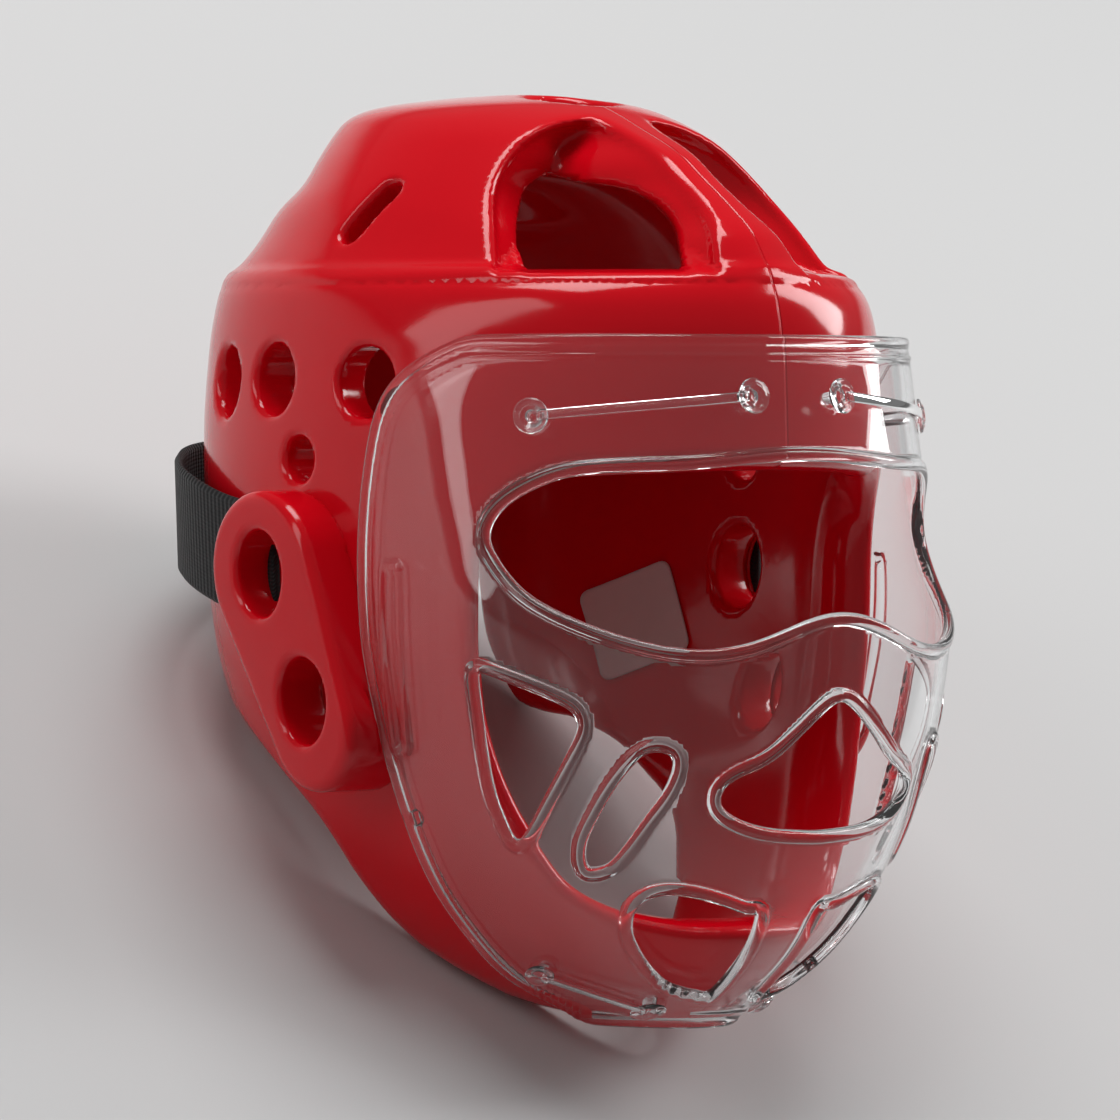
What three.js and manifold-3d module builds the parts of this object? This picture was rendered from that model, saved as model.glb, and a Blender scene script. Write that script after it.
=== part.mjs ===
import * as THREE from 'three';
import { mergeVertices } from 'three/addons/utils/BufferGeometryUtils.js';
import Module from 'manifold-3d';

// Full-face sparring headgear of dipped foam with a clear face shield.
// Head frame while building: X across the head, -Y out of the face, Z up from the chin.
// The finished group is laid back onto the rim it rests on.

// Driving sizes in millimetres, angles in degrees.
const shellHeight = 293;
const shellWidth = 195;
const faceReach = 121;
const napeReach = 119;
const foamWall = 16;
const restPitch = 39.2;
const ventDiameter = 22;
const crownVentDiameter = 28;
const archWidth = 66;
const archHeight = 47;
const archDepth = 8;
const archMouthWidth = 48;
const archMouthHeight = 27;
const archBearing = 33;
const archSill = 0.805;
const archMidGap = 8;
const crownSlotLength = 25;
const crownSlotWidth = 8;
const crownSlotBearing = 84;
const crownSlotRise = 38;
const napeSplit = 96;
const napeSplitTop = 190;
const earPadStand = 14.5;
const earPadLean = 4;
const earHoleDiameter = 23;
const earPadHeight = 93;
const earPadDepth = 48;
const earPadEase = 3;
const strapWidth = 38;
const strapThickness = 2.6;
const strapSlack = 10;
const shieldTop = 215;
const shieldSweep = 71.5;
const shieldReachShare = 1.215;
const shieldWidthShare = 1.056;
const shieldWall = 2.4;
const beadRadius = 2;
const clipHoleDiameter = 5;
const clipPostDiameter = 4.4;
const clipHeadDiameter = 11;
const clipBarWidth = 3.2;
const clipSocketDepth = 9;
const clipHoleReach = 6;
const clipHeadHeight = 2;
const clipBarHeight = 1.6;
const labelWidth = 35;
const labelHeight = 31;
const labelThickness = 0.8;
const labelBearing = 120.5;
const labelTurn = -20;
const seatGap = 0.35;

// Facet counts.
const shellFacets = 36;
const ventFacets = 12;
const shieldColumns = 12;
const clipFacets = 6;

const red = { color: 0xb3121c, roughness: 0.16, metalness: 0 };
const clear = { color: 0xe8eef0, roughness: 0.05, metalness: 0, transparent: true, opacity: 0.3 };
const black = { color: 0x141414, roughness: 0.85, metalness: 0 };
const paper = { color: 0xd8cfc8, roughness: 0.6, metalness: 0 };

const wasm = await Module();
wasm.setup();

const halfWidth = shellWidth / 2;

// The shield stands in front of the foam, so its reach and width follow the foam's.
const shieldReach = faceReach * shieldReachShare;
const shieldWidth = shellWidth * shieldWidthShare;
const radians = THREE.MathUtils.degToRad;

// Columns: height as a share of shellHeight, front of faceReach, side of half the shell width,
// back of napeReach, exponent of the front curve, front wall as a share of foamWall,
// shift of the oval towards the back as a share of napeReach.
const shellSections = [
  [0.000, 0.496, 0.205, 0.118, 2.00, 1.10, 0.000],
  [0.009, 0.560, 0.290, 0.168, 2.00, 1.30, 0.000],
  [0.031, 0.660, 0.410, 0.252, 2.10, 1.45, 0.000],
  [0.068, 0.790, 0.549, 0.336, 2.20, 1.60, 0.000],
  [0.116, 0.900, 0.672, 0.420, 2.20, 1.60, 0.000],
  [0.164, 0.959, 0.754, 0.521, 2.20, 1.45, 0.000],
  [0.208, 0.988, 0.810, 0.622, 2.20, 1.25, 0.000],
  [0.263, 1.000, 0.867, 0.723, 2.20, 1.10, 0.000],
  [0.300, 1.000, 0.903, 0.807, 2.15, 1.00, 0.000],
  [0.355, 1.000, 0.944, 0.891, 2.10, 1.00, 0.000],
  [0.413, 1.000, 0.974, 0.941, 2.05, 1.00, 0.000],
  [0.512, 0.992, 0.995, 0.975, 2.00, 1.00, 0.000],
  [0.628, 0.983, 1.000, 0.983, 2.00, 1.00, 0.000],
  [0.730, 0.971, 0.985, 0.962, 2.00, 1.00, 0.000],
  [0.768, 0.955, 0.969, 0.945, 1.97, 1.00, 0.000],
  [0.794, 0.930, 0.946, 0.930, 1.86, 1.00, 0.000],
  [0.805, 0.913, 0.913, 0.912, 1.70, 1.00, 0.000],
  [0.836, 0.892, 0.851, 0.791, 1.70, 1.00, 0.025],
  [0.877, 0.789, 0.779, 0.692, 1.70, 1.00, 0.042],
  [0.904, 0.709, 0.718, 0.580, 1.75, 1.00, 0.059],
  [0.932, 0.636, 0.646, 0.540, 1.80, 1.00, 0.084],
  [0.962, 0.502, 0.554, 0.490, 2.00, 1.00, 0.118],
  [0.980, 0.435, 0.482, 0.430, 2.00, 1.00, 0.151],
  [0.996, 0.366, 0.369, 0.333, 2.00, 1.00, 0.168],
  [1.000, 0.310, 0.290, 0.270, 2.00, 1.00, 0.168],
];
const backExponent = 2.2;

// Above this share of the height the wall's thickness also counts upwards.
const domeStart = 0.62;

// How much thicker the side wall is low down than at the crown.
const lowWallScale = 1.12;

// Columns: distance behind the upright axis as a share of napeReach, height of shellHeight.
const jawProfile = [
  [-0.008, 0.116],
  [0.059, 0.164],
  [0.092, 0.191],
  [0.151, 0.222],
  [0.252, 0.253],
  [0.378, 0.287],
  [0.521, 0.314],
];
const chinEdge = [-0.370, 0.003];
const restFrontStart = -0.235;
const restFrontEnd = -0.067;
const restFrontHeight = 0.026;
const restBackStart = 0.672;

// Columns: height as a share of shellHeight, half width of half the shell width.
const faceOutline = [
  [0.119, 0.164],
  [0.126, 0.328],
  [0.143, 0.451],
  [0.160, 0.523],
  [0.205, 0.615],
  [0.242, 0.687],
  [0.287, 0.749],
  [0.341, 0.800],
  [0.410, 0.820],
  [0.512, 0.820],
  [0.556, 0.779],
  [0.584, 0.677],
  [0.596, 0.533],
];
const faceFlare = 0.85;

// Columns: bearing from straight ahead in degrees, height as a share of shellHeight, diameter of
// ventDiameter.
const sideVents = [
  [72.4, 0.687, 1],
  [98.6, 0.691, 1],
  [117.7, 0.689, 1],
  [90.0, 0.606, 0.64],
];

// Egg outline of the ear pad: two circles, upper and lower, joined by tangents.
// Columns: distance behind the axis as a share of napeReach, height of shellHeight, radius of
// earPadHeight.
const padCircles = [
  [0.013, 0.485, 0.280],
  [-0.160, 0.327, 0.220],
];

// Columns: distance behind the axis as a share of napeReach, height as a share of shellHeight.
const earHoles = [
  [0.015, 0.486],
  [-0.143, 0.353],
];
const earHoleStretch = 1.15;

// Middle of an arch's sill: share of half the shell width to the side, of faceReach ahead.
const archMiddle = [0.445, 0.711];

// Middle of the crown vent as a share of faceReach ahead of the axis.
const crownVentAhead = 0.115;

// Middle of a crown slot: share of half the shell width, of faceReach ahead, of shellHeight.
const crownSlotMiddle = [0.76, 0.062, 0.867];
// Which way the slot runs: outwards, back, up.
const crownSlotSlant = [-0.55, -0.33, 0.66];

// Height of the label's middle as a share of shellHeight.
const labelMiddle = 0.424;

// Columns: bearing in degrees, standoff from the foam, height of the band's middle as a share
// of shellHeight. The standoff is a share of strapSlack.
const strapRoute = [
  [96, 0.05, 0.488],
  [104, 0.08, 0.496],
  [112, 0.30, 0.504],
  [122, 0.65, 0.520],
  [134, 0.92, 0.538],
  [150, 1.00, 0.556],
  [165, 1.00, 0.563],
  [180, 1.00, 0.565],
];

// Columns: height as a share of shieldTop, front of shieldReach, side of half the shield width,
// edge bearing as a share of shieldSweep.
const shieldSections = [
  [0.012, 0.560, 0.250, 0.330],
  [0.075, 0.690, 0.520, 0.670],
  [0.135, 0.790, 0.640, 0.780],
  [0.220, 0.860, 0.775, 0.865],
  [0.330, 0.935, 0.870, 0.920],
  [0.430, 0.983, 0.930, 0.950],
  [0.590, 1.000, 0.992, 0.980],
  [0.690, 0.935, 1.000, 0.985],
  [0.890, 0.855, 0.992, 0.945],
  [0.950, 0.842, 0.984, 0.880],
  [0.982, 0.834, 0.976, 0.790],
  [1.000, 0.830, 0.970, 0.680],
];
const shieldExponent = 2.3;

// Openings in the shield, along the middle of the bead round each one.
// Columns: bearing as a share of shieldSweep, low and high edge as shares of shieldTop.
const eyeOpening = [
  [-0.669, 0.712, 0.726],
  [-0.636, 0.679, 0.763],
  [-0.587, 0.637, 0.786],
  [-0.503, 0.602, 0.812],
  [-0.420, 0.577, 0.819],
  [-0.336, 0.558, 0.821],
  [-0.252, 0.551, 0.823],
  [-0.168, 0.563, 0.828],
  [-0.084, 0.591, 0.833],
  [0.000, 0.607, 0.835],
];
const mouthOpening = [
  [-0.224, 0.340, 0.367],
  [-0.196, 0.319, 0.388],
  [-0.140, 0.302, 0.409],
  [-0.084, 0.295, 0.449],
  [-0.042, 0.293, 0.479],
  [0.000, 0.291, 0.498],
];
const cheekOpening = [
  [-0.685, 0.502, 0.535],
  [-0.664, 0.372, 0.537],
  [-0.636, 0.312, 0.530],
  [-0.608, 0.279, 0.523],
  [-0.573, 0.286, 0.514],
  [-0.517, 0.358, 0.498],
  [-0.476, 0.419, 0.481],
  [-0.462, 0.447, 0.460],
];
const slantOpening = [
  [-0.462, 0.260, 0.288],
  [-0.448, 0.242, 0.316],
  [-0.420, 0.242, 0.360],
  [-0.392, 0.251, 0.395],
  [-0.364, 0.279, 0.419],
  [-0.336, 0.316, 0.428],
  [-0.308, 0.353, 0.423],
  [-0.294, 0.386, 0.409],
];
const chinOpening = [
  [-0.350, 0.158, 0.195],
  [-0.322, 0.126, 0.214],
  [-0.280, 0.098, 0.221],
  [-0.224, 0.074, 0.216],
  [-0.168, 0.062, 0.205],
  [-0.112, 0.056, 0.191],
  [-0.070, 0.060, 0.181],
];
const sideRib = [
  [-0.908, 0.430, 0.660],
  [-0.898, 0.415, 0.675],
  [-0.874, 0.415, 0.675],
  [-0.862, 0.430, 0.660],
];
const sideHole = [-0.872, 0.315];

// Columns: bearings of the two ends as shares of shieldSweep, their heights as shares of shieldTop.
const topClip = [0.112, 0.560, 0.916, 0.888];
const chinClip = [0.215, 0.545, 0.040, 0.092];

function lerpRow(rows, key) {
  // Row of a table worked out between its two neighbours on the first column.
  const last = rows.length - 1;
  let index = rows.findIndex((row, place) => place < last && key <= rows[place + 1][0]);
  index = index < 0 ? last - 1 : index;
  const low = rows[index];
  const high = rows[index + 1];
  const part = THREE.MathUtils.clamp((key - low[0]) / (high[0] - low[0]), 0, 1);
  return low.map((value, column) => value + (high[column] - value) * part);
}

function ovalRadius(bearing, front, side, back, frontExponent) {
  // Distance from the upright axis to an oval whose front and back halves differ.
  const ahead = Math.cos(bearing);
  const reach = ahead >= 0 ? front : back;
  const exponent = ahead >= 0 ? frontExponent : backExponent;
  const across = Math.abs(Math.sin(bearing)) / side;
  const sum = across ** exponent + (Math.abs(ahead) / reach) ** exponent;
  return sum ** (-1 / exponent);
}

function polar(bearing, radius, height) {
  return [Math.sin(bearing) * radius, -Math.cos(bearing) * radius, height];
}

function shifted([across, along, up], share) {
  return [across, along + share * napeReach, up];
}

function shellRadius(bearing, height) {
  const row = lerpRow(shellSections, height / shellHeight);
  return ovalRadius(bearing, row[1] * faceReach, row[2] * halfWidth, row[3] * napeReach, row[4]);
}

function shieldRadius(bearing, height) {
  const row = lerpRow(shieldSections, height / shieldTop);
  const half = row[2] * shieldWidth / 2;
  return ovalRadius(bearing, row[1] * shieldReach, half, half, shieldExponent);
}

function solidFromGeometry(geometry) {
  // Closed three.js geometry as a solid that can be joined and cut.
  const plain = geometry.clone();
  for (const name of Object.keys(plain.attributes)) {
    if (name !== 'position') plain.deleteAttribute(name);
  }
  const merged = mergeVertices(plain, 1e-4);
  const index = merged.index.array;
  const positions = merged.attributes.position.array;
  const kept = [];
  for (let place = 0; place < index.length; place += 3) {
    const corners = [index[place], index[place + 1], index[place + 2]];
    if (new Set(corners).size === 3) kept.push(...corners);
  }
  const mesh = new wasm.Mesh({
    numProp: 3,
    vertProperties: new Float32Array(positions),
    triVerts: new Uint32Array(kept),
  });
  return new wasm.Manifold(mesh);
}

function geometryFromSolid(solid) {
  const mesh = solid.getMesh();
  const geometry = new THREE.BufferGeometry();
  geometry.setAttribute('position', new THREE.BufferAttribute(new Float32Array(mesh.vertProperties), 3));
  geometry.setIndex(new THREE.BufferAttribute(new Uint32Array(mesh.triVerts), 1));
  geometry.computeVertexNormals();
  return geometry;
}

function loftRings(rings, closed = false) {
  // Closed body through rings of equal point counts; the end rings get fan caps.
  const count = rings[0].length;
  const points = rings.flat(2);
  const triangles = [];
  const links = closed ? rings.length : rings.length - 1;
  for (let ring = 0; ring < links; ring += 1) {
    const here = ring * count;
    const next = ((ring + 1) % rings.length) * count;
    for (let place = 0; place < count; place += 1) {
      const after = (place + 1) % count;
      triangles.push(here + place, here + after, next + after);
      triangles.push(here + place, next + after, next + place);
    }
  }
  if (!closed) {
    const tail = (rings.length - 1) * count;
    const first = points.length / 3;
    points.push(...middleOf(rings[0]), ...middleOf(rings[rings.length - 1]));
    for (let place = 0; place < count; place += 1) {
      const after = (place + 1) % count;
      triangles.push(first, after, place);
      triangles.push(first + 1, tail + place, tail + after);
    }
  }
  const geometry = new THREE.BufferGeometry();
  geometry.setAttribute('position', new THREE.Float32BufferAttribute(points, 3));
  geometry.setIndex(triangles);
  return outwardSolid(geometry);
}

function middleOf(ring) {
  const sum = ring.reduce((total, point) => total.map((value, axis) => value + point[axis]), [0, 0, 0]);
  return sum.map((value) => value / ring.length);
}

function outwardSolid(geometry) {
  // A loft made inside out is turned round before it becomes a solid.
  const index = geometry.index.array;
  const position = geometry.attributes.position;
  const corners = [new THREE.Vector3(), new THREE.Vector3(), new THREE.Vector3()];
  let volume = 0;
  for (let place = 0; place < index.length; place += 3) {
    corners.forEach((corner, side) => corner.fromBufferAttribute(position, index[place + side]));
    volume += corners[0].dot(corners[1].clone().cross(corners[2]));
  }
  if (volume < 0) {
    for (let place = 0; place < index.length; place += 3) {
      const swap = index[place + 1];
      index[place + 1] = index[place + 2];
      index[place + 2] = swap;
    }
  }
  return solidFromGeometry(geometry);
}

function shellBody(grow) {
  // Outer form of the foam, grown or shrunk all round.
  const rings = shellSections.map(([height, front, side, back, exponent, , shift]) => {
    const lift = grow * THREE.MathUtils.clamp((height - domeStart) / (1 - domeStart), 0, 1);
    const drop = height === 0 ? Math.min(-grow, 0) : 0;
    const ring = [];
    for (let step = 0; step < shellFacets; step += 1) {
      const bearing = step / shellFacets * Math.PI * 2;
      const radius = ovalRadius(
        bearing, front * faceReach + grow, side * halfWidth + grow, back * napeReach + grow, exponent);
      ring.push(shifted(polar(bearing, radius, height * shellHeight + lift + drop), shift));
    }
    return ring;
  });
  return loftRings(rings);
}

function cavityBody(inset) {
  // Room for the head: the outer form less the wall, running out through the neck.
  const thickness = foamWall + inset;
  const domeScale = (1 - thickness / shellHeight - domeStart) / (1 - domeStart);
  const facets = shellFacets * 0.75;
  const rings = [];
  shellSections.forEach(([height, front, side, back, exponent, wall, shift], place) => {
    if (place % 2 === 1) return;
    const high = height > domeStart ? domeStart + (height - domeStart) * domeScale : height;
    const shrink = height > domeStart ? thickness * (1 - 0.35 * (height - domeStart)) : thickness;
    const sideShrink = height < 0.3 ? shrink * lowWallScale : shrink;
    const ring = [];
    for (let step = 0; step < facets; step += 1) {
      const bearing = step / facets * Math.PI * 2;
      const radius = ovalRadius(
        bearing,
        Math.max(front * faceReach - shrink * wall, foamWall * 0.5),
        Math.max(side * halfWidth - sideShrink, foamWall * 0.25),
        Math.max(back * napeReach - shrink, foamWall * 0.25),
        exponent);
      ring.push(shifted(polar(bearing, radius, high * shellHeight), shift));
    }
    rings.push(ring);
  });
  const throat = rings[0].map(([across, ahead]) => [across, ahead, -foamWall]);
  return loftRings([throat, ...rings]);
}

function restLine(along) {
  // Height of the resting plane at a distance behind the upright axis.
  const front = restFrontStart * napeReach;
  return restFrontHeight * shellHeight + (along - front) * Math.tan(radians(restPitch));
}

function prismAcross(outline, halfSpan) {
  // Side profile of (back, up) points pushed out both ways across the head.
  const drawn = outline.map(([along, up]) => new THREE.Vector2(along, up));
  const shape = THREE.ShapeUtils.area(drawn) > 0 ? drawn : drawn.reverse();
  const count = shape.length;
  const sideAt = (across) => shape.flatMap(({ x, y }) => [across, x, y]);
  const points = [...sideAt(-halfSpan), ...sideAt(halfSpan)];
  const triangles = [];
  for (let place = 0; place < count; place += 1) {
    const after = (place + 1) % count;
    triangles.push(place, after, count + after, place, count + after, count + place);
  }
  for (const [one, two, three] of THREE.ShapeUtils.triangulateShape(shape, [])) {
    triangles.push(three, two, one, count + one, count + two, count + three);
  }
  const geometry = new THREE.BufferGeometry();
  geometry.setAttribute('position', new THREE.Float32BufferAttribute(points, 3));
  geometry.setIndex(triangles);
  return outwardSolid(geometry);
}

function rimCut() {
  // Everything under the jaw, cut off along the lower rim; two stretches lie on the resting plane.
  const far = napeReach * 1.3;
  const low = -shellHeight * 0.2;
  const chin = [chinEdge[0] * napeReach, chinEdge[1] * shellHeight];
  const restAt = (share) => [share * napeReach, restLine(share * napeReach)];
  const jaw = jawProfile.map(([along, up]) => [along * napeReach, up * shellHeight]);
  const profile = [
    [chin[0], low],
    chin,
    restAt(restFrontStart),
    restAt(restFrontEnd),
    ...jaw,
    restAt(restBackStart),
    [far, restLine(far)],
    [far, low],
  ];
  return prismAcross(profile, shellWidth);
}

function faceCut() {
  // The face opening, flaring outwards so that its edge stands square to the foam.
  const nearReach = faceReach * 1.2;
  const farReach = foamWall * 0.7;
  const edgeReach = faceReach * 0.6;
  const middle = 0.375 * shellHeight;
  const rings = [nearReach, farReach].map((reach) => {
    const wide = 1 + faceFlare * (reach - edgeReach) / faceReach;
    const tall = 1 + 0.15 * (reach - faceReach * 0.9) / faceReach;
    const half = faceOutline.map(([height, width]) => [
      width * halfWidth * wide, -reach, middle + (height * shellHeight - middle) * tall]);
    const mirrored = half.map(([across, ahead, up]) => [-across, ahead, up]).reverse();
    return [...half, ...mirrored];
  });
  return loftRings(rings);
}

function rod(from, to, radius, facets) {
  // Round rod between two points.
  const start = new THREE.Vector3(...from);
  const end = new THREE.Vector3(...to);
  const axis = end.clone().sub(start);
  const geometry = new THREE.CylinderGeometry(radius, radius, axis.length(), facets);
  geometry.applyQuaternion(new THREE.Quaternion().setFromUnitVectors(
    new THREE.Vector3(0, 1, 0), axis.clone().normalize()));
  const centre = start.add(end).multiplyScalar(0.5);
  geometry.translate(centre.x, centre.y, centre.z);
  return solidFromGeometry(geometry);
}

function archShape(width, height) {
  const shape = new THREE.Shape();
  const straight = height * 0.34;
  shape.moveTo(-width / 2, 0);
  shape.lineTo(width / 2, 0);
  shape.lineTo(width / 2, straight);
  shape.absellipse(0, straight, width / 2, height - straight, 0, Math.PI, false, 0);
  shape.lineTo(-width / 2, 0);
  return shape;
}

function alongBearing(geometry, bearing, sill) {
  // Shape drawn in X and Y, extruded in Z, turned to run out from the axis at a bearing.
  const outward = new THREE.Vector3(Math.sin(bearing), -Math.cos(bearing), 0);
  const upward = new THREE.Vector3(0, 0, 1);
  const sideways = upward.clone().cross(outward);
  const turn = new THREE.Matrix4().makeBasis(sideways, upward, outward);
  turn.setPosition(0, 0, sill);
  return geometry.applyMatrix4(turn);
}

function archCuts(side) {
  // A scoop in the crown over each brow, with a mouth through to the inside.
  const bearing = radians(side * archBearing);
  const options = { depth: faceReach, bevelEnabled: false, curveSegments: 6 };
  const [aside, ahead] = archMiddle;
  const shift = side * aside * halfWidth * Math.cos(bearing) - ahead * faceReach * Math.sin(bearing);
  const [scoop, mouth] = [[archWidth, archHeight], [archMouthWidth, archMouthHeight]].map((size) => {
    const geometry = new THREE.ExtrudeGeometry(archShape(...size), options).translate(shift, 0, 0);
    return solidFromGeometry(alongBearing(geometry, bearing, archSill * shellHeight));
  });
  const ownSide = scoop.trimByPlane([side, 0, 0], archMidGap);
  return [ownSide.subtract(shellBody(-archDepth)), mouth];
}

function crownSlot(side) {
  // Slanted slot in the side of the crown.
  const bearing = radians(side * crownSlotBearing);
  const rise = radians(crownSlotRise);
  const [slantOut, slantBack, slantUp] = crownSlotSlant;
  const [middleOut, middleAhead, middleUp] = crownSlotMiddle;
  const outward = new THREE.Vector3(
    Math.sin(bearing) * Math.cos(rise), -Math.cos(bearing) * Math.cos(rise), Math.sin(rise));
  const slant = new THREE.Vector3(side * slantOut, slantBack, slantUp);
  const along = slant.sub(outward.clone().multiplyScalar(slant.dot(outward))).normalize();
  const across = along.clone().cross(outward);
  const shape = new THREE.Shape();
  const straight = (crownSlotLength - crownSlotWidth) / 2;
  const round = crownSlotWidth / 2;
  shape.absarc(straight, 0, round, -Math.PI / 2, Math.PI / 2, false);
  shape.absarc(-straight, 0, round, Math.PI / 2, Math.PI * 1.5, false);
  const geometry = new THREE.ExtrudeGeometry(
    shape, { depth: foamWall * 4, bevelEnabled: false, curveSegments: 3 });
  const centre = new THREE.Vector3(
    side * halfWidth * middleOut, -faceReach * middleAhead, shellHeight * middleUp);
  centre.sub(outward.clone().multiplyScalar(foamWall * 2));
  const turn = new THREE.Matrix4().makeBasis(along, across.negate(), outward);
  turn.setPosition(centre);
  geometry.applyMatrix4(turn);
  return solidFromGeometry(geometry);
}

function napeCut() {
  // The split at the back that the strap draws together.
  const shape = new THREE.Shape();
  const half = napeSplit / 2;
  const round = half * 0.6;
  shape.moveTo(-half, 0);
  shape.lineTo(half, 0);
  shape.lineTo(half, napeSplitTop - round);
  shape.absarc(half - round, napeSplitTop - round, round, 0, Math.PI / 2, false);
  shape.absarc(round - half, napeSplitTop - round, round, Math.PI / 2, Math.PI, false);
  const geometry = new THREE.ExtrudeGeometry(
    shape, { depth: napeReach * 1.2, bevelEnabled: false, curveSegments: 4 });
  return solidFromGeometry(alongBearing(geometry, Math.PI, 0));
}

function earPadBlank(side) {
  // The padded ear cover, with an eased face edge, running in to the axis of the hollow.
  const [upper, lower] = padCircles.map(([along, up, radius]) => ({
    along: along * napeReach, up: up * shellHeight, radius: radius * earPadHeight - earPadEase }));
  const axisAngle = Math.atan2(lower.up - upper.up, lower.along - upper.along);
  const distance = Math.hypot(lower.up - upper.up, lower.along - upper.along);
  const spread = Math.acos((upper.radius - lower.radius) / distance);
  const shape = new THREE.Shape();
  shape.absarc(
    upper.along, upper.up, upper.radius, axisAngle + spread, axisAngle - spread + Math.PI * 2, false);
  shape.absarc(lower.along, lower.up, lower.radius, axisAngle - spread, axisAngle + spread, false);
  const geometry = new THREE.ExtrudeGeometry(shape, {
    depth: earPadDepth - earPadEase,
    bevelEnabled: true,
    bevelThickness: earPadEase,
    bevelSize: earPadEase,
    bevelSegments: 1,
    curveSegments: 8,
  });
  const turn = new THREE.Matrix4().makeBasis(
    new THREE.Vector3(0, 1, 0), new THREE.Vector3(0, 0, 1), new THREE.Vector3(1, 0, 0));
  geometry.applyMatrix4(turn);
  geometry.translate(-earPadDepth, 0, -upper.up);
  geometry.rotateY(radians(earPadLean));
  geometry.translate(halfWidth + earPadStand, 0, upper.up);
  const solid = solidFromGeometry(geometry);
  return side > 0 ? solid : mirrorAcross(solid);
}

function earHoleCuts(side) {
  return earHoles.map(([along, up]) => {
    const geometry = new THREE.CylinderGeometry(
      earHoleDiameter / 2, earHoleDiameter / 2, foamWall * 6, ventFacets);
    geometry.rotateZ(Math.PI / 2);
    geometry.scale(1, 1, earHoleStretch);
    geometry.translate(side * halfWidth, along * napeReach, up * shellHeight);
    return solidFromGeometry(geometry);
  });
}

function strapBody(clearance) {
  // Elastic band from under one ear pad round the nape to the other.
  const back = strapRoute.slice(0, -1).reverse();
  const route = [...strapRoute, ...back.map(([bearing, out, up]) => [360 - bearing, out, up])];
  const rings = route.map(([degrees, out, up]) => {
    const bearing = radians(degrees);
    const low = up * shellHeight - strapWidth / 2 - clearance;
    const high = up * shellHeight + strapWidth / 2 + clearance;
    const inner = out * strapSlack - clearance;
    const outer = out * strapSlack + strapThickness + clearance;
    return [
      polar(bearing, shellRadius(bearing, low) + inner, low),
      polar(bearing, shellRadius(bearing, low) + outer, low),
      polar(bearing, shellRadius(bearing, high) + outer, high),
      polar(bearing, shellRadius(bearing, high) + inner, high),
    ];
  });
  return loftRings(rings);
}

function shieldPoint(bearingShare, heightShare, offset) {
  const bearing = radians(bearingShare * shieldSweep);
  const height = heightShare * shieldTop;
  return polar(bearing, shieldRadius(bearing, height) + offset, height);
}

function shieldBlank(clearance) {
  // Curved clear sheet before its openings, as one closed body.
  const rings = shieldSections.map(([height, , , edgeShare]) => {
    const edge = edgeShare + clearance / radians(shieldSweep) / halfWidth;
    const outer = [];
    const inner = [];
    for (let step = 0; step <= shieldColumns; step += 1) {
      const bearing = edge * (step / shieldColumns * 2 - 1);
      outer.push(shieldPoint(bearing, height, clearance));
      inner.push(shieldPoint(bearing, height, -shieldWall - clearance));
    }
    return [...outer, ...inner.reverse()];
  });
  return bandSolid(rings);
}

function bandSolid(rings) {
  // Closed body through rings that are thin bands: each end ring is capped across its two sides.
  const count = rings[0].length;
  const half = count / 2;
  const triangles = [];
  for (let ring = 0; ring < rings.length - 1; ring += 1) {
    for (let place = 0; place < count; place += 1) {
      const after = (place + 1) % count;
      const here = ring * count;
      const next = here + count;
      triangles.push(here + place, here + after, next + after);
      triangles.push(here + place, next + after, next + place);
    }
  }
  const tail = (rings.length - 1) * count;
  for (let place = 0; place < half - 1; place += 1) {
    const across = count - 1 - place;
    triangles.push(place, across, across - 1, place, across - 1, place + 1);
    triangles.push(tail + place, tail + across - 1, tail + across);
    triangles.push(tail + place, tail + place + 1, tail + across - 1);
  }
  const geometry = new THREE.BufferGeometry();
  geometry.setAttribute('position', new THREE.Float32BufferAttribute(rings.flat(2), 3));
  geometry.setIndex(triangles);
  return outwardSolid(geometry);
}

function wholeOutline(rows) {
  // A table that ends on the middle line is mirrored to the other side.
  if (rows[rows.length - 1][0] !== 0) return rows;
  return [...rows, ...rows.slice(0, -1).reverse().map(([bearing, low, high]) => [-bearing, low, high])];
}

function openingCutter(rows) {
  // Plug through the sheet in the shape of an opening.
  const reach = shieldWall + clipHoleReach;
  const rings = wholeOutline(rows).map(([bearing, low, high]) => [
    shieldPoint(bearing, low, -reach),
    shieldPoint(bearing, low, reach),
    shieldPoint(bearing, high, reach),
    shieldPoint(bearing, high, -reach),
  ]);
  return loftRings(rings);
}

function beadLoop(rows, steps) {
  // Half-round bead raised from the sheet round an opening.
  const outline = wholeOutline(rows);
  const flat = (bearing, share) => new THREE.Vector3(bearing * shieldSweep, share * shieldTop, 0);
  const top = outline.map(([bearing, , high]) => flat(bearing, high));
  const low = outline.map(([bearing, under]) => flat(bearing, under));
  const curve = new THREE.CatmullRomCurve3([...top, ...low.reverse()], true, 'centripetal');
  const path = curve.getSpacedPoints(steps).slice(0, -1);
  const centres = path.map((point) => new THREE.Vector3(
    ...shieldPoint(point.x / shieldSweep, point.y / shieldTop, 0)));
  const rings = centres.map((centre, place) => {
    const ahead = centres[(place + 1) % steps];
    const behind = centres[(place + steps - 1) % steps];
    const tangent = ahead.clone().sub(behind).normalize();
    const bearing = radians(path[place].x);
    const outward = new THREE.Vector3(Math.sin(bearing), -Math.cos(bearing), 0);
    outward.sub(tangent.clone().multiplyScalar(outward.dot(tangent))).normalize();
    const sideways = tangent.clone().cross(outward);
    return [-0.2, 0.5, 1.2].map((share) => {
      const angle = share * Math.PI;
      const point = centre.clone();
      point.add(sideways.clone().multiplyScalar(Math.cos(angle) * beadRadius));
      point.add(outward.clone().multiplyScalar(Math.sin(angle) * beadRadius));
      return point.toArray();
    });
  });
  return loftRings(rings, true);
}

function mirrorAcross(solid) {
  // The same solid on the other side of the head.
  return outwardSolid(geometryFromSolid(solid).scale(-1, 1, 1));
}

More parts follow.
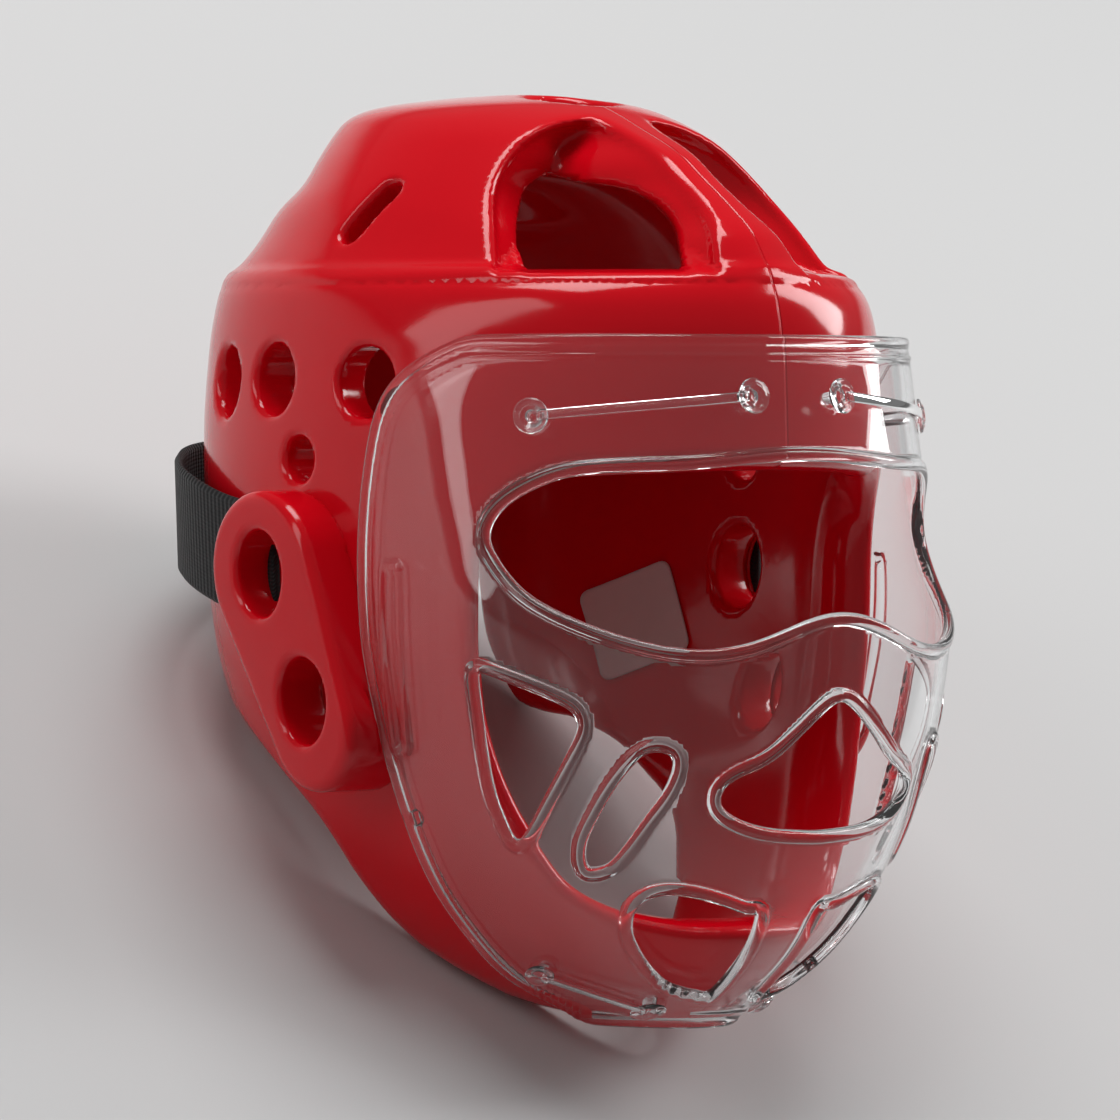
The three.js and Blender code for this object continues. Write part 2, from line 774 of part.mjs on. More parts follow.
function clipEnds([from, to, fromHeight, toHeight]) {
  return [[from, fromHeight], [to, toHeight]];
}

function shieldNormal(bearingShare, heightShare) {
  // Direction square to the sheet, pointing out.
  const step = 0.01;
  const at = (bearing, height) => new THREE.Vector3(...shieldPoint(bearing, height, 0));
  const sideways = at(bearingShare + step, heightShare).sub(at(bearingShare - step, heightShare));
  const upwards = at(bearingShare, heightShare + step).sub(at(bearingShare, heightShare - step));
  return sideways.cross(upwards).normalize();
}

function postAxis([bearingShare, heightShare], inset, outset) {
  // Two points on the line square to the sheet where a clip post stands.
  const height = heightShare * shieldTop;
  const bearing = radians(bearingShare * shieldSweep);
  const room = shieldRadius(bearing, height) - shellRadius(bearing, height);
  const normal = shieldNormal(bearingShare, heightShare);
  const base = new THREE.Vector3(...shieldPoint(bearingShare, heightShare, 0));
  const inner = base.clone().addScaledVector(normal, -room - inset);
  return [inner.toArray(), base.addScaledVector(normal, outset).toArray()];
}

function clipHoles(clip, inset) {
  return clipEnds(clip).map((end) => {
    const [inner, outer] = postAxis(end, inset, clipHoleReach);
    return rod(inner, outer, clipHoleDiameter / 2, clipFacets);
  });
}

function clipBody(clip) {
  // Clear rivet bar: a post and a round head at each end, joined by a thin bar along the sheet.
  const headBase = seatGap + 0.25;
  const barBase = seatGap + 0.4;
  const barTop = barBase + clipBarHeight;
  const parts = [];
  for (const end of clipEnds(clip)) {
    const [inner, outer] = postAxis(end, clipSocketDepth - 1, seatGap + 1);
    parts.push(rod(inner, outer, clipPostDiameter / 2, clipFacets));
    const [, base] = postAxis(end, 0, headBase);
    const [, top] = postAxis(end, 0, headBase + clipHeadHeight);
    parts.push(rod(base, top, clipHeadDiameter / 2, clipFacets + 2));
  }
  const steps = 4;
  const [from, to, fromHeight, toHeight] = clip;
  const rings = [];
  for (let step = 0; step <= steps; step += 1) {
    const part = step / steps;
    const bearing = from + (to - from) * part;
    const height = fromHeight + (toHeight - fromHeight) * part;
    const rise = clipBarWidth / 2 / shieldTop;
    rings.push([
      shieldPoint(bearing, height - rise, barBase),
      shieldPoint(bearing, height - rise, barTop),
      shieldPoint(bearing, height + rise, barTop),
      shieldPoint(bearing, height + rise, barBase),
    ]);
  }
  parts.push(loftRings(rings));
  return parts.reduce((whole, part) => whole.add(part));
}

function labelBody() {
  // Small plain sticker on the inner wall, cut out of a thin layer of the hollow.
  const geometry = new THREE.BoxGeometry(labelWidth, labelHeight, napeReach);
  geometry.rotateZ(radians(labelTurn));
  geometry.translate(0, 0, napeReach);
  const block = solidFromGeometry(
    alongBearing(geometry, radians(labelBearing), shellHeight * labelMiddle));
  const layer = cavityBody(seatGap).subtract(cavityBody(seatGap + labelThickness));
  return layer.intersect(block);
}

function foamShell() {
  let shell = shellBody(0).subtract(cavityBody(0)).subtract(rimCut()).subtract(faceCut());
  shell = shell.subtract(napeCut());
  const ahead = -faceReach * crownVentAhead;
  const crownVent = rod(
    [0, ahead, shellHeight * 0.85], [0, ahead, shellHeight * 1.05], crownVentDiameter / 2, ventFacets);
  shell = shell.subtract(crownVent);
  for (const side of [-1, 1]) {
    for (const cut of [...archCuts(side), crownSlot(side), ...earHoleCuts(side)]) {
      shell = shell.subtract(cut);
    }
    for (const [degrees, share, size] of sideVents) {
      const bearing = radians(side * degrees);
      const height = share * shellHeight;
      const vent = rod(
        polar(bearing, halfWidth * 0.5, height), polar(bearing, halfWidth * 1.5, height),
        size * ventDiameter / 2, ventFacets);
      shell = shell.subtract(vent);
    }
  }
  for (const clip of [topClip, chinClip]) {
    for (const hole of clipHoles(clip, clipSocketDepth)) {
      shell = shell.subtract(hole).subtract(mirrorAcross(hole));
    }
  }
  return shell;
}

function earPad(side) {
  let pad = earPadBlank(side).subtract(shellBody(seatGap));
  pad = pad.subtract(strapBody(seatGap)).subtract(shieldBlank(seatGap * 2));
  for (const hole of earHoleCuts(side)) {
    pad = pad.subtract(hole);
  }
  return pad;
}

function faceShield() {
  let shield = shieldBlank(0);
  const paired = [cheekOpening, slantOpening, chinOpening];
  const cuts = [openingCutter(eyeOpening), openingCutter(mouthOpening)];
  for (const rows of paired) {
    const cut = openingCutter(rows);
    cuts.push(cut, mirrorAcross(cut));
  }
  for (const clip of [topClip, chinClip]) {
    for (const hole of clipHoles(clip, 0)) {
      cuts.push(hole, mirrorAcross(hole));
    }
  }
  const [holeBearing, holeHeight] = sideHole;
  const small = rod(
    shieldPoint(holeBearing, holeHeight, -clipHoleReach),
    shieldPoint(holeBearing, holeHeight, clipHoleReach),
    clipHoleDiameter / 2, clipFacets);
  cuts.push(small, mirrorAcross(small));
  for (const cut of cuts) {
    shield = shield.subtract(cut);
  }
  const beads = [beadLoop(eyeOpening, 24), beadLoop(mouthOpening, 14)];
  for (const rows of [...paired, sideRib]) {
    const bead = beadLoop(rows, 9);
    beads.push(bead, mirrorAcross(bead));
  }
  for (const bead of beads) {
    shield = shield.add(bead);
  }
  return shield;
}

const upright = new THREE.Group();

function place(name, solid, finish) {
  const mesh = new THREE.Mesh(geometryFromSolid(solid), new THREE.MeshStandardMaterial(finish));
  mesh.name = name;
  upright.add(mesh);
}

place('foam_shell', foamShell(), red);
place('ear_pad_right', earPad(-1), red);
place('ear_pad_left', earPad(1), red);
place('nape_strap', strapBody(0), black);
place('face_shield', faceShield(), clear);
place('clip_top_left', clipBody(topClip), clear);
place('clip_top_right', mirrorAcross(clipBody(topClip)), clear);
place('clip_chin_left', clipBody(chinClip), clear);
place('clip_chin_right', mirrorAcross(clipBody(chinClip)), clear);
place('inner_label', labelBody(), paper);

// The headgear lies back on its jaw and nape rims; the middle of its box stands over the origin.
upright.rotation.x = -radians(restPitch);
const headgear = new THREE.Group();
headgear.add(upright);
headgear.updateMatrixWorld(true);
const box = new THREE.Box3().setFromObject(headgear, true);
const centre = box.getCenter(new THREE.Vector3());
upright.position.set(-centre.x, -centre.y, -box.min.z);
headgear.updateMatrixWorld(true);

export default headgear;
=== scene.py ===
import math
import bpy
import numpy as np
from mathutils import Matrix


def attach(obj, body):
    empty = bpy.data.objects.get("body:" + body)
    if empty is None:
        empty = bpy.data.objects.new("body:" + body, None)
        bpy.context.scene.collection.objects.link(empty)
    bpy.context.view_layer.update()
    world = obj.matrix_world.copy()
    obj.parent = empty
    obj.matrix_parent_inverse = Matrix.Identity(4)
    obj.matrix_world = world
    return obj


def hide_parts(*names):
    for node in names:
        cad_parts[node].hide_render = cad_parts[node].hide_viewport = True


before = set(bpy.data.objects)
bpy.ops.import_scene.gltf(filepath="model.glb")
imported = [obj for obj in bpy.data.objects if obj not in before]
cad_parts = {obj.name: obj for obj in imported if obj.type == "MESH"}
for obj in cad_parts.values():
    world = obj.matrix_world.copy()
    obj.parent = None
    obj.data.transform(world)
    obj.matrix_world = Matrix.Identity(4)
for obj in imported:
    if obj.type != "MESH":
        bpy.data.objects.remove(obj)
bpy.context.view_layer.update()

import openvdb
from mathutils import Matrix, Vector

print("frame loaded")

# The headgear is drawn upright, in millimetres: X across, -Y out of the face, Z up from the chin.
# This lays it back onto its jaw and nape: degrees, then millimetres.
restPose = {"pitch": 39.2, "back": -81.361, "up": -23.578}


def turnBack(vectors):
    vectors = np.asarray(vectors, dtype=np.float64).reshape(-1, 3)
    turn = math.radians(restPose["pitch"])
    y = vectors[:, 1] * math.cos(turn) + vectors[:, 2] * math.sin(turn)
    z = vectors[:, 2] * math.cos(turn) - vectors[:, 1] * math.sin(turn)
    return np.stack([vectors[:, 0], y, z], axis=1)


def layBack(points):
    return (turnBack(points) + [0, restPose["back"], restPose["up"]]) / 1000


# Camera: place on the upright head it looks at, and where from
camera = {"right": 5.1, "height": 145.4, "elevation": 1.0, "distance": 2400, "frameWidth": 355.6}


def makeCamera():
    across = np.array([0.784, -0.621, 0])
    tilt = math.radians(camera["elevation"])
    towards = np.array([-0.621 * math.cos(tilt), -0.784 * math.cos(tilt), math.sin(tilt)])
    target = across * camera["right"] + np.array([0, 0, camera["height"]])
    place = Vector(layBack(target + towards * camera["distance"])[0])
    back = Vector(turnBack(towards)[0]).normalized()
    up = Vector(turnBack([0, 0, 1])[0])
    side = up.cross(back).normalized()
    up = back.cross(side)
    data = bpy.data.cameras.new("camera")
    data.sensor_width = 36
    data.lens = 36 * camera["distance"] / camera["frameWidth"]
    data.clip_end = 50
    made = bpy.data.objects.new("camera", data)
    bpy.context.collection.objects.link(made)
    made.matrix_world = Matrix.Translation(place) @ Matrix((side, up, back)).transposed().to_4x4()
    bpy.context.scene.camera = made


makeCamera()


# Curves and fields that every piece is drawn with

def gentleCurve(keys, values, fine):
    # smooth curve through the values that never overshoots them
    step = np.diff(keys)
    slope = np.diff(values) / step
    same = slope[1:] * slope[:-1] > 0
    before = np.where(same, slope[:-1], 1)
    after = np.where(same, slope[1:], 1)
    heavy = 2 * step[1:] + step[:-1]
    light = step[1:] + 2 * step[:-1]
    tangent = np.concatenate([[slope[0]], (heavy + light) / (heavy / before + light / after), [slope[-1]]])
    tangent[1:-1] = np.where(same, tangent[1:-1], 0)
    place = np.clip(np.searchsorted(keys, fine, side="right") - 1, 0, len(keys) - 2)
    part = (fine - keys[place]) / step[place]
    part2 = part ** 2
    part3 = part ** 3
    return (
        (2 * part3 - 3 * part2 + 1) * values[place]
        + (part3 - 2 * part2 + part) * step[place] * tangent[place]
        + (3 * part2 - 2 * part3) * values[place + 1]
        + (part3 - part2) * step[place] * tangent[place + 1])


def soften(values, spread):
    # rounds the last kinks off a finely sampled curve
    reach = int(spread * 3) + 1
    weight = np.exp(-0.5 * (np.arange(-reach, reach + 1) / spread) ** 2)
    return np.convolve(np.pad(values, reach, mode="edge"), weight / weight.sum(), mode="valid")


def smoothTable(rows, scale, step, spread):
    rows = np.array(rows, dtype=np.float64)
    keys = rows[:, 0] * scale
    fine = np.arange(keys[0], keys[-1] + step / 2, step)
    columns = [soften(gentleCurve(keys, column, fine), spread / step) for column in rows[:, 1:].T]
    return fine, np.array(columns)


def smoothMax(first, second, width):
    blend = np.maximum(width - np.abs(first - second), 0) / width
    return np.maximum(first, second) + blend ** 2 * width / 4


def smoothMin(first, second, width):
    return -smoothMax(-first, -second, width)


def ovalRatio(x, y, front, side, back, power, backPower):
    # how far out a point lies, as a share of the way to the oval
    power = np.where(y < 0, power, backPower)
    across = (np.abs(x) / side) ** power
    along = (np.abs(y) / np.where(y < 0, front, back)) ** power
    total = np.maximum(across + along, 1e-9)
    return across / total, along / total, total ** (1 / power)


def ovalGap(x, y, sizes, slopes, power, backPower):
    # distance from a wall whose level sections are ovals, allowing for its lean
    front, side, back = sizes
    acrossShare, alongShare, ratio = ovalRatio(x, y, front, side, back, power, backPower)
    radius = np.hypot(x, y)
    edge = radius / ratio
    reach = np.where(y < 0, front, back)
    slope = np.where(y < 0, slopes[0], slopes[2])
    lean = edge * (acrossShare * slopes[1] / side + alongShare * slope / reach)
    return (radius - edge) / np.sqrt(1 + lean ** 2)


def roundedOutline(points, count=160, curved=True):
    # closed curve through the points, evenly spaced
    points = np.asarray(points, dtype=np.float64)
    if curved:
        before = np.roll(points, 1, axis=0)
        after = np.roll(points, -1, axis=0)
        later = np.roll(points, -2, axis=0)
        part = np.linspace(0, 1, 12, endpoint=False)[None, :, None]
        a, b, c, d = [side[:, None, :] for side in (before, points, after, later)]
        curve = 0.5 * (
            2 * b + (c - a) * part + (2 * a - 5 * b + 4 * c - d) * part ** 2
            + (3 * b - a - 3 * c + d) * part ** 3)
        points = curve.reshape(-1, 2)
    closed = np.vstack([points, points[:1]])
    travelled = np.concatenate([[0], np.cumsum(np.hypot(*np.diff(closed, axis=0).T))])
    even = np.linspace(0, travelled[-1], count, endpoint=False)
    return np.stack([np.interp(even, travelled, closed[:, axis]) for axis in (0, 1)], axis=1)


def insideOutline(a, b, outline):
    inside = np.zeros(np.broadcast(a, b).shape, dtype=bool)
    for (a1, b1), (a2, b2) in zip(outline, np.roll(outline, -1, axis=0)):
        if b1 == b2:
            continue
        crosses = (b1 > b) != (b2 > b)
        inside ^= crosses & (a < (a2 - a1) * (b - b1) / (b2 - b1) + a1)
    return inside


def flatField(outline, low, high, step=1.0):
    # signed distances from a closed outline, kept on a flat grid
    a = np.arange(low[0], high[0] + step, step)[:, None]
    b = np.arange(low[1], high[1] + step, step)[None, :]
    nearest = np.full((a.size, b.size), 1e9)
    for (a1, b1), (a2, b2) in zip(outline, np.roll(outline, -1, axis=0)):
        alongA = a2 - a1
        alongB = b2 - b1
        part = np.clip(((a - a1) * alongA + (b - b1) * alongB) / max(alongA ** 2 + alongB ** 2, 1e-9), 0, 1)
        nearest = np.minimum(nearest, np.hypot(a - a1 - part * alongA, b - b1 - part * alongB))
    sign = np.where(insideOutline(a, b, outline), -1, 1)
    return {"low": low, "step": step, "values": nearest * sign}


def readField(field, a, b):
    values = field["values"]
    a = np.clip((a - field["low"][0]) / field["step"], 0, values.shape[0] - 1.001)
    b = np.clip((b - field["low"][1]) / field["step"], 0, values.shape[1] - 1.001)
    a0 = a.astype(int)
    b0 = b.astype(int)
    a = a - a0
    b = b - b0
    return (
        values[a0, b0] * (1 - a) * (1 - b) + values[a0 + 1, b0] * a * (1 - b)
        + values[a0, b0 + 1] * (1 - a) * b + values[a0 + 1, b0 + 1] * a * b)


def slopeOf(gap, points, reach=0.3):
    slope = np.zeros_like(points)
    for axis in range(3):
        step = np.zeros(3)
        step[axis] = reach
        ahead = gap(*(points + step).T)
        behind = gap(*(points - step).T)
        slope[:, axis] = (ahead - behind) / (2 * reach)
    return slope


def startMesh(name, points, faces):
    mesh = bpy.data.meshes.new(name)
    mesh.from_pydata(layBack(points).tolist(), [], faces)
    mesh.polygons.foreach_set("use_smooth", np.ones(len(mesh.polygons), dtype=bool))
    return mesh


def addPiece(mesh, material, node):
    mesh.materials.append(material)
    made = bpy.data.objects.new(mesh.name, mesh)
    bpy.context.collection.objects.link(made)
    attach(made, "root")
    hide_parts(node)
    return made


def carvedPiece(name, points, faces, normals, material, node):
    # the faces are turned to look the way the normals do
    corner = points[faces[:, :3]]
    facing = np.cross(corner[:, 1] - corner[:, 0], corner[:, 2] - corner[:, 0])
    if (facing * normals[faces[:, 0]]).sum() < 0:
        faces = faces[:, ::-1]
    mesh = startMesh(name, points, faces.tolist())
    mesh.normals_split_custom_set_from_vertices(turnBack(normals).tolist())
    return addPiece(mesh, material, node)


def carve(gap, low, high, cell):
    # skin of the shape where the field is nought, moved exactly onto it
    axes = [np.arange(low[axis], high[axis] + cell, cell) for axis in range(3)]
    values = gap(axes[0][:, None, None], axes[1][None, :, None], axes[2][None, None, :])
    values = np.clip(values, -3 * cell, 3 * cell).astype(np.float32)
    grid = openvdb.FloatGrid(3 * cell)
    grid.copyFromArray(np.ascontiguousarray(values))
    points, quads = grid.convertToQuads(0.0)
    points = points.astype(np.float64) * cell + np.array(low)
    for _ in range(3):
        slope = slopeOf(gap, points)
        move = gap(*points.T)[:, None] * slope / np.maximum((slope ** 2).sum(axis=1), 0.2)[:, None]
        points = points - np.clip(move, -cell / 2, cell / 2)
    slope = slopeOf(gap, points)
    return points, quads, slope / np.linalg.norm(slope, axis=1)[:, None]


# Foam shell

foam = {
    "height": 293, "width": 195, "front": 121, "back": 119, "wall": 16, "backPower": 2.2,
    "domeStart": 0.62, "lowWall": 1.12,
    "rimRound": 9, "ventRound": 3, "archRound": 3.5, "cell": 2.0, "ledge": 237.2, "bandTop": 231.5,
    "crownFoot": 236.4,
    "ventDiameter": 22, "crownVent": 28, "crownVentAhead": 0.115,
    "archBearing": 33, "archMiddle": (0.445, 0.711), "archSill": 0.805, 
    "arch": (66, 47), "archFunnel": (3, 1.5), "mouth": (48, 27), "archMidGap": 8,
    "slot": (25, 8), "slotBearing": 84, "slotRise": 38, "slotMiddle": (0.76, 0.062, 0.867),
    "slotSlant": (-0.55, -0.33, 0.66),
    "split": 96, "splitTop": 190, "faceFlare": 0.85,
}
# share of height; share of front, half width, back; front power; front wall; backward shift
foam["sections"] = [
    (0.000, 0.496, 0.205, 0.118, 2.00, 1.10, 0.000), (0.009, 0.560, 0.290, 0.168, 2.00, 1.30, 0.000),
    (0.031, 0.660, 0.410, 0.252, 2.10, 1.45, 0.000), (0.068, 0.790, 0.549, 0.336, 2.20, 1.60, 0.000),
    (0.116, 0.900, 0.672, 0.420, 2.20, 1.60, 0.000), (0.164, 0.959, 0.754, 0.521, 2.20, 1.45, 0.000),
    (0.208, 0.988, 0.810, 0.622, 2.20, 1.25, 0.000), (0.263, 1.000, 0.867, 0.723, 2.20, 1.10, 0.000),
    (0.300, 1.000, 0.903, 0.807, 2.15, 1.00, 0.000), (0.355, 1.000, 0.944, 0.891, 2.10, 1.00, 0.000),
    (0.413, 1.000, 0.974, 0.941, 2.05, 1.00, 0.000), (0.512, 0.992, 0.995, 0.975, 2.00, 1.00, 0.000),
    (0.628, 0.983, 1.000, 0.983, 2.00, 1.00, 0.000), (0.730, 0.971, 0.985, 0.962, 2.00, 1.00, 0.000),
    (0.768, 0.955, 0.969, 0.945, 1.97, 1.00, 0.000), (0.794, 0.930, 0.946, 0.930, 1.86, 1.00, 0.000),
    (0.805, 0.913, 0.913, 0.912, 1.70, 1.00, 0.000), (0.836, 0.892, 0.851, 0.791, 1.70, 1.00, 0.025),
    (0.877, 0.789, 0.779, 0.692, 1.70, 1.00, 0.042), (0.904, 0.709, 0.718, 0.580, 1.75, 1.00, 0.059),
    (0.932, 0.636, 0.646, 0.540, 1.80, 1.00, 0.084), (0.962, 0.502, 0.554, 0.490, 2.00, 1.00, 0.118),
    (0.980, 0.435, 0.482, 0.430, 2.00, 1.00, 0.151), (0.996, 0.366, 0.369, 0.333, 2.00, 1.00, 0.168),
    (1.000, 0.310, 0.290, 0.270, 2.00, 1.00, 0.168)]
# jaw line: share of back, share of height
foam["jaw"] = [
    (-0.008, 0.116), (0.059, 0.164), (0.092, 0.191), (0.151, 0.222), (0.252, 0.253), (0.378, 0.287),
    (0.521, 0.314)]
foam["chin"] = (-0.370, 0.003)
foam["rest"] = {"front": -0.235, "frontEnd": -0.067, "height": 0.026, "back": 0.672}
# face opening: share of height, share of half width
foam["face"] = [
    (0.119, 0.164), (0.126, 0.328), (0.143, 0.451), (0.160, 0.523), (0.205, 0.615), (0.242, 0.687),
    (0.287, 0.749), (0.341, 0.800), (0.410, 0.820), (0.512, 0.820), (0.556, 0.779), (0.584, 0.677),
    (0.596, 0.533)]
# round vents: bearing from straight ahead, share of height, share of the vent diameter
foam["vents"] = [(72.4, 0.687, 1), (98.6, 0.691, 1), (117.7, 0.689, 1), (90.0, 0.606, 0.64)]
# ear holes: share of back, share of height
foam["earHoles"] = [(0.015, 0.486), (-0.143, 0.353)]
foam["earHole"] = {"diameter": 23, "stretch": 1.15}


def shellTables():
    height, columns = smoothTable(foam["sections"], foam["height"], 0.5, 1.6)
    front, side, back, power, wall, shift = columns
    outer = [front * foam["front"], side * foam["width"] / 2, back * foam["back"]]
    share = height / foam["height"]
    start = foam["domeStart"]
    thick = foam["wall"]
    squeeze = (1 - thick / foam["height"] - start) / (1 - start)
    lifted = np.where(share > start, start + (share - start) * squeeze, share) * foam["height"]
    shrink = np.where(share > start, thick * (1 - 0.35 * (share - start)), thick)
    low = soften(np.where(share < 0.3, foam["lowWall"], 1.0), 12)
    inner = [
        np.maximum(outer[0] - shrink * wall, thick * 0.5),
        np.maximum(outer[1] - shrink * low, thick * 0.25),
        np.maximum(outer[2] - shrink, thick * 0.25)]
    shiftBack = shift * foam["back"]
    return (
        {"height": height, "sizes": outer, "power": power, "shift": shiftBack,
         "slopes": [np.gradient(size, height) for size in outer]},
        {"height": lifted, "sizes": inner, "power": power, "shift": shiftBack,
         "slopes": [np.gradient(size, lifted) for size in inner]})


foam["outer"], foam["inner"] = shellTables()


def wallGap(table, x, y, z):

    def at(column):
        return np.interp(z, table["height"], column)

    sizes = [at(size) for size in table["sizes"]]
    slopes = [at(slope) for slope in table["slopes"]]
    return ovalGap(x, y - at(table["shift"]), sizes, slopes, at(table["power"]), foam["backPower"])


def outerGap(x, y, z):
    # the brow band ends in a rounded ledge, and the crown stands a little inside it
    band = wallGap(foam["outer"], x, y, np.minimum(z, foam["bandTop"]))
    band = smoothMax(band, z - foam["ledge"], 7)
    crown = wallGap(foam["outer"], x, y, np.maximum(z, foam["crownFoot"]))
    crown = np.maximum(crown, foam["bandTop"] - 3 - z)
    gap = smoothMin(band, crown, 2.6)
    gap = smoothMax(gap, z - foam["height"], 10)
    return smoothMax(gap, -z, 8)


def hollowGap(x, y, z):
    gap = wallGap(foam["inner"], x, y, z)
    return smoothMax(gap, z - foam["inner"]["height"][-1], 14)


def shellRadius(bearing, height):
    table = foam["outer"]

    def at(column):
        return np.interp(height, table["height"], column)

    x = np.sin(bearing)
    y = -np.cos(bearing)
    sizes = [at(size) for size in table["sizes"]]
    return 1 / ovalRatio(x, y, *sizes, at(table["power"]), foam["backPower"])[2]


def restHeight(along):
    rest = foam["rest"]
    rise = math.tan(math.radians(restPose["pitch"]))
    return rest["height"] * foam["height"] + (along - rest["front"] * foam["back"]) * rise


def rimField():
    back = foam["back"]
    tall = foam["height"]
    rest = foam["rest"]
    jaw = np.array(foam["jaw"]) * [back, tall]
    fine = np.linspace(jaw[0, 0], jaw[-1, 0], 30)
    jaw = np.stack([fine, gentleCurve(jaw[:, 0], jaw[:, 1], fine)], axis=1)
    chin = (foam["chin"][0] * back, foam["chin"][1] * tall)
    low = -0.2 * tall
    far = 1.3 * back
    points = [(chin[0], low), chin]
    points += [(share * back, restHeight(share * back)) for share in (rest["front"], rest["frontEnd"])]
    points += jaw.tolist()
    points += [(rest["back"] * back, restHeight(rest["back"] * back)), (far, restHeight(far)), (far, low)]
    return flatField(np.array(points), (-140, -60), (160, 300))


def faceField():
    rows = np.array(foam["face"])
    half = np.stack([rows[:, 1] * foam["width"] / 2, rows[:, 0] * foam["height"]], axis=1)
    fine = np.linspace(0, 1, 90)
    travelled = np.concatenate([[0], np.cumsum(np.hypot(*np.diff(half, axis=0).T))])
    travelled /= travelled[-1]
    half = np.stack([soften(np.interp(fine, travelled, half[:, axis]), 2.5) for axis in (0, 1)], axis=1)
    whole = np.vstack([half, half[::-1] * [-1, 1]])
    return flatField(whole, (-130, -20), (130, 230))


def archOutline(width, height):
    straight = height * 0.34
    angle = np.linspace(0, np.pi, 40)
    top = np.stack([width / 2 * np.cos(angle), straight + (height - straight) * np.sin(angle)], axis=1)
    return np.vstack([[(-width / 2, 0), (width / 2, 0)], top])


def splitOutline():
    half = foam["split"] / 2
    curve = half * 0.6
    top = foam["splitTop"]
    angle = np.linspace(0, np.pi / 2, 16)
    right = np.stack([half - curve + curve * np.cos(angle), top - curve + curve * np.sin(angle)], axis=1)
    return np.vstack([[(-half, -80), (half, -80)], right, right[::-1] * [-1, 1]])


foam["rimField"] = rimField()
foam["faceField"] = faceField()
foam["archField"] = flatField(archOutline(*foam["arch"]), (-60, -30), (60, 90))
foam["mouthField"] = flatField(archOutline(*foam["mouth"]), (-60, -30), (60, 90))
foam["splitField"] = flatField(splitOutline(), (-120, -20), (120, 300))


def faceGap(x, y, z):
    reach = -y
    wide = 1 + foam["faceFlare"] * (reach - foam["front"] * 0.6) / foam["front"]
    tall = 1 + 0.15 * (reach - foam["front"] * 0.9) / foam["front"]
    middle = 0.375 * foam["height"]
    wide = np.maximum(wide, 0.4)
    gap = readField(foam["faceField"], x / wide, middle + (z - middle) / tall) * wide
    return np.maximum(gap, 0.7 * foam["wall"] - reach)


def roundVent(x, y, z, bearing, height, radius):
    bearing = math.radians(bearing)
    out = x * math.sin(bearing) - y * math.cos(bearing)
    across = x * math.cos(bearing) + y * math.sin(bearing)
    gap = np.hypot(across, z - height) - radius
    return np.maximum(gap, 40 - out)


def archGap(x, y, z, outer):
    bearing = math.radians(foam["archBearing"])
    out = x * math.sin(bearing) - y * math.cos(bearing)
    aside, ahead = foam["archMiddle"]
    shift = aside * foam["width"] / 2 * math.cos(bearing) - ahead * foam["front"] * math.sin(bearing)
    across = x * math.cos(bearing) + y * math.sin(bearing) - shift
    up = z - foam["archSill"] * foam["height"]
    scoop = readField(foam["archField"], across, up)
    mouth = readField(foam["mouthField"], across, up)
    scoop = smoothMax(scoop, foam["archMidGap"] - x, 6)
    # the recess deepens from its rim to the mouth, like a funnel
    low, steep = foam["archFunnel"]
    floor = -(outer + low - steep * scoop) / math.hypot(1, steep)
    scoop = smoothMax(scoop, floor, 2)
    return np.maximum(scoop, -out), np.maximum(mouth, 10 - out)


def slotGap(x, y, z):
    bearing = math.radians(foam["slotBearing"])
    rise = math.radians(foam["slotRise"])
    outward = Vector((
        math.sin(bearing) * math.cos(rise), -math.cos(bearing) * math.cos(rise), math.sin(rise)))
    slant = Vector(foam["slotSlant"])
    along = (slant - outward * slant.dot(outward)).normalized()
    across = along.cross(outward)
    right, ahead, up = foam["slotMiddle"]
    x = x - right * foam["width"] / 2
    y = y + ahead * foam["front"]
    z = z - up * foam["height"]
    run = x * along.x + y * along.y + z * along.z
    cross = x * across.x + y * across.y + z * across.z
    out = x * outward.x + y * outward.y + z * outward.z
    length, width = foam["slot"]
    gap = np.hypot(np.maximum(np.abs(run) - (length - width) / 2, 0), cross) - width / 2
    return np.maximum(gap, np.abs(out) - foam["wall"] * 2)


def earHoleGap(y, z, hole):
    along, up = hole
    size = foam["earHole"]
    tall = (z - up * foam["height"]) / size["stretch"]
    return np.hypot(y - along * foam["back"], tall) - size["diameter"] / 2


def foamGap(x, y, z):
    x = np.abs(x)
    tall = foam["height"]
    outer = outerGap(x, y, z)
    gap = smoothMax(outer, -hollowGap(x, y, z), 2)
    scoop, mouth = archGap(x, y, z, outer)
    gap = smoothMax(gap, -smoothMin(scoop, mouth, 3), foam["archRound"])
    gap = smoothMax(gap, -readField(foam["rimField"], y + 0 * x, z + 0 * x), foam["rimRound"])
    gap = smoothMax(gap, -faceGap(x, y, z), foam["rimRound"])
    split = np.maximum(readField(foam["splitField"], x + 0 * y, z + 0 * y), -y)
    gap = smoothMax(gap, -split, foam["rimRound"])
    for bearing, share, size in foam["vents"]:
        vent = roundVent(x, y, z, bearing, share * tall, size * foam["ventDiameter"] / 2)
        gap = smoothMax(gap, -vent, foam["ventRound"])
    crown = np.hypot(x, y + foam["crownVentAhead"] * foam["front"]) - foam["crownVent"] / 2
    gap = smoothMax(gap, -np.maximum(crown, 0.8 * tall - z), foam["ventRound"])
    gap = smoothMax(gap, -slotGap(x, y, z), foam["ventRound"])
    for hole in foam["earHoles"]:
        gap = smoothMax(gap, -np.maximum(earHoleGap(y, z, hole), 40 - x), foam["ventRound"])
    return gap


# Materials

def startMaterial(name):
    material = bpy.data.materials.new(name)
    material.use_nodes = True
    tree = material.node_tree
    return material, tree, tree.nodes["Principled BSDF"]


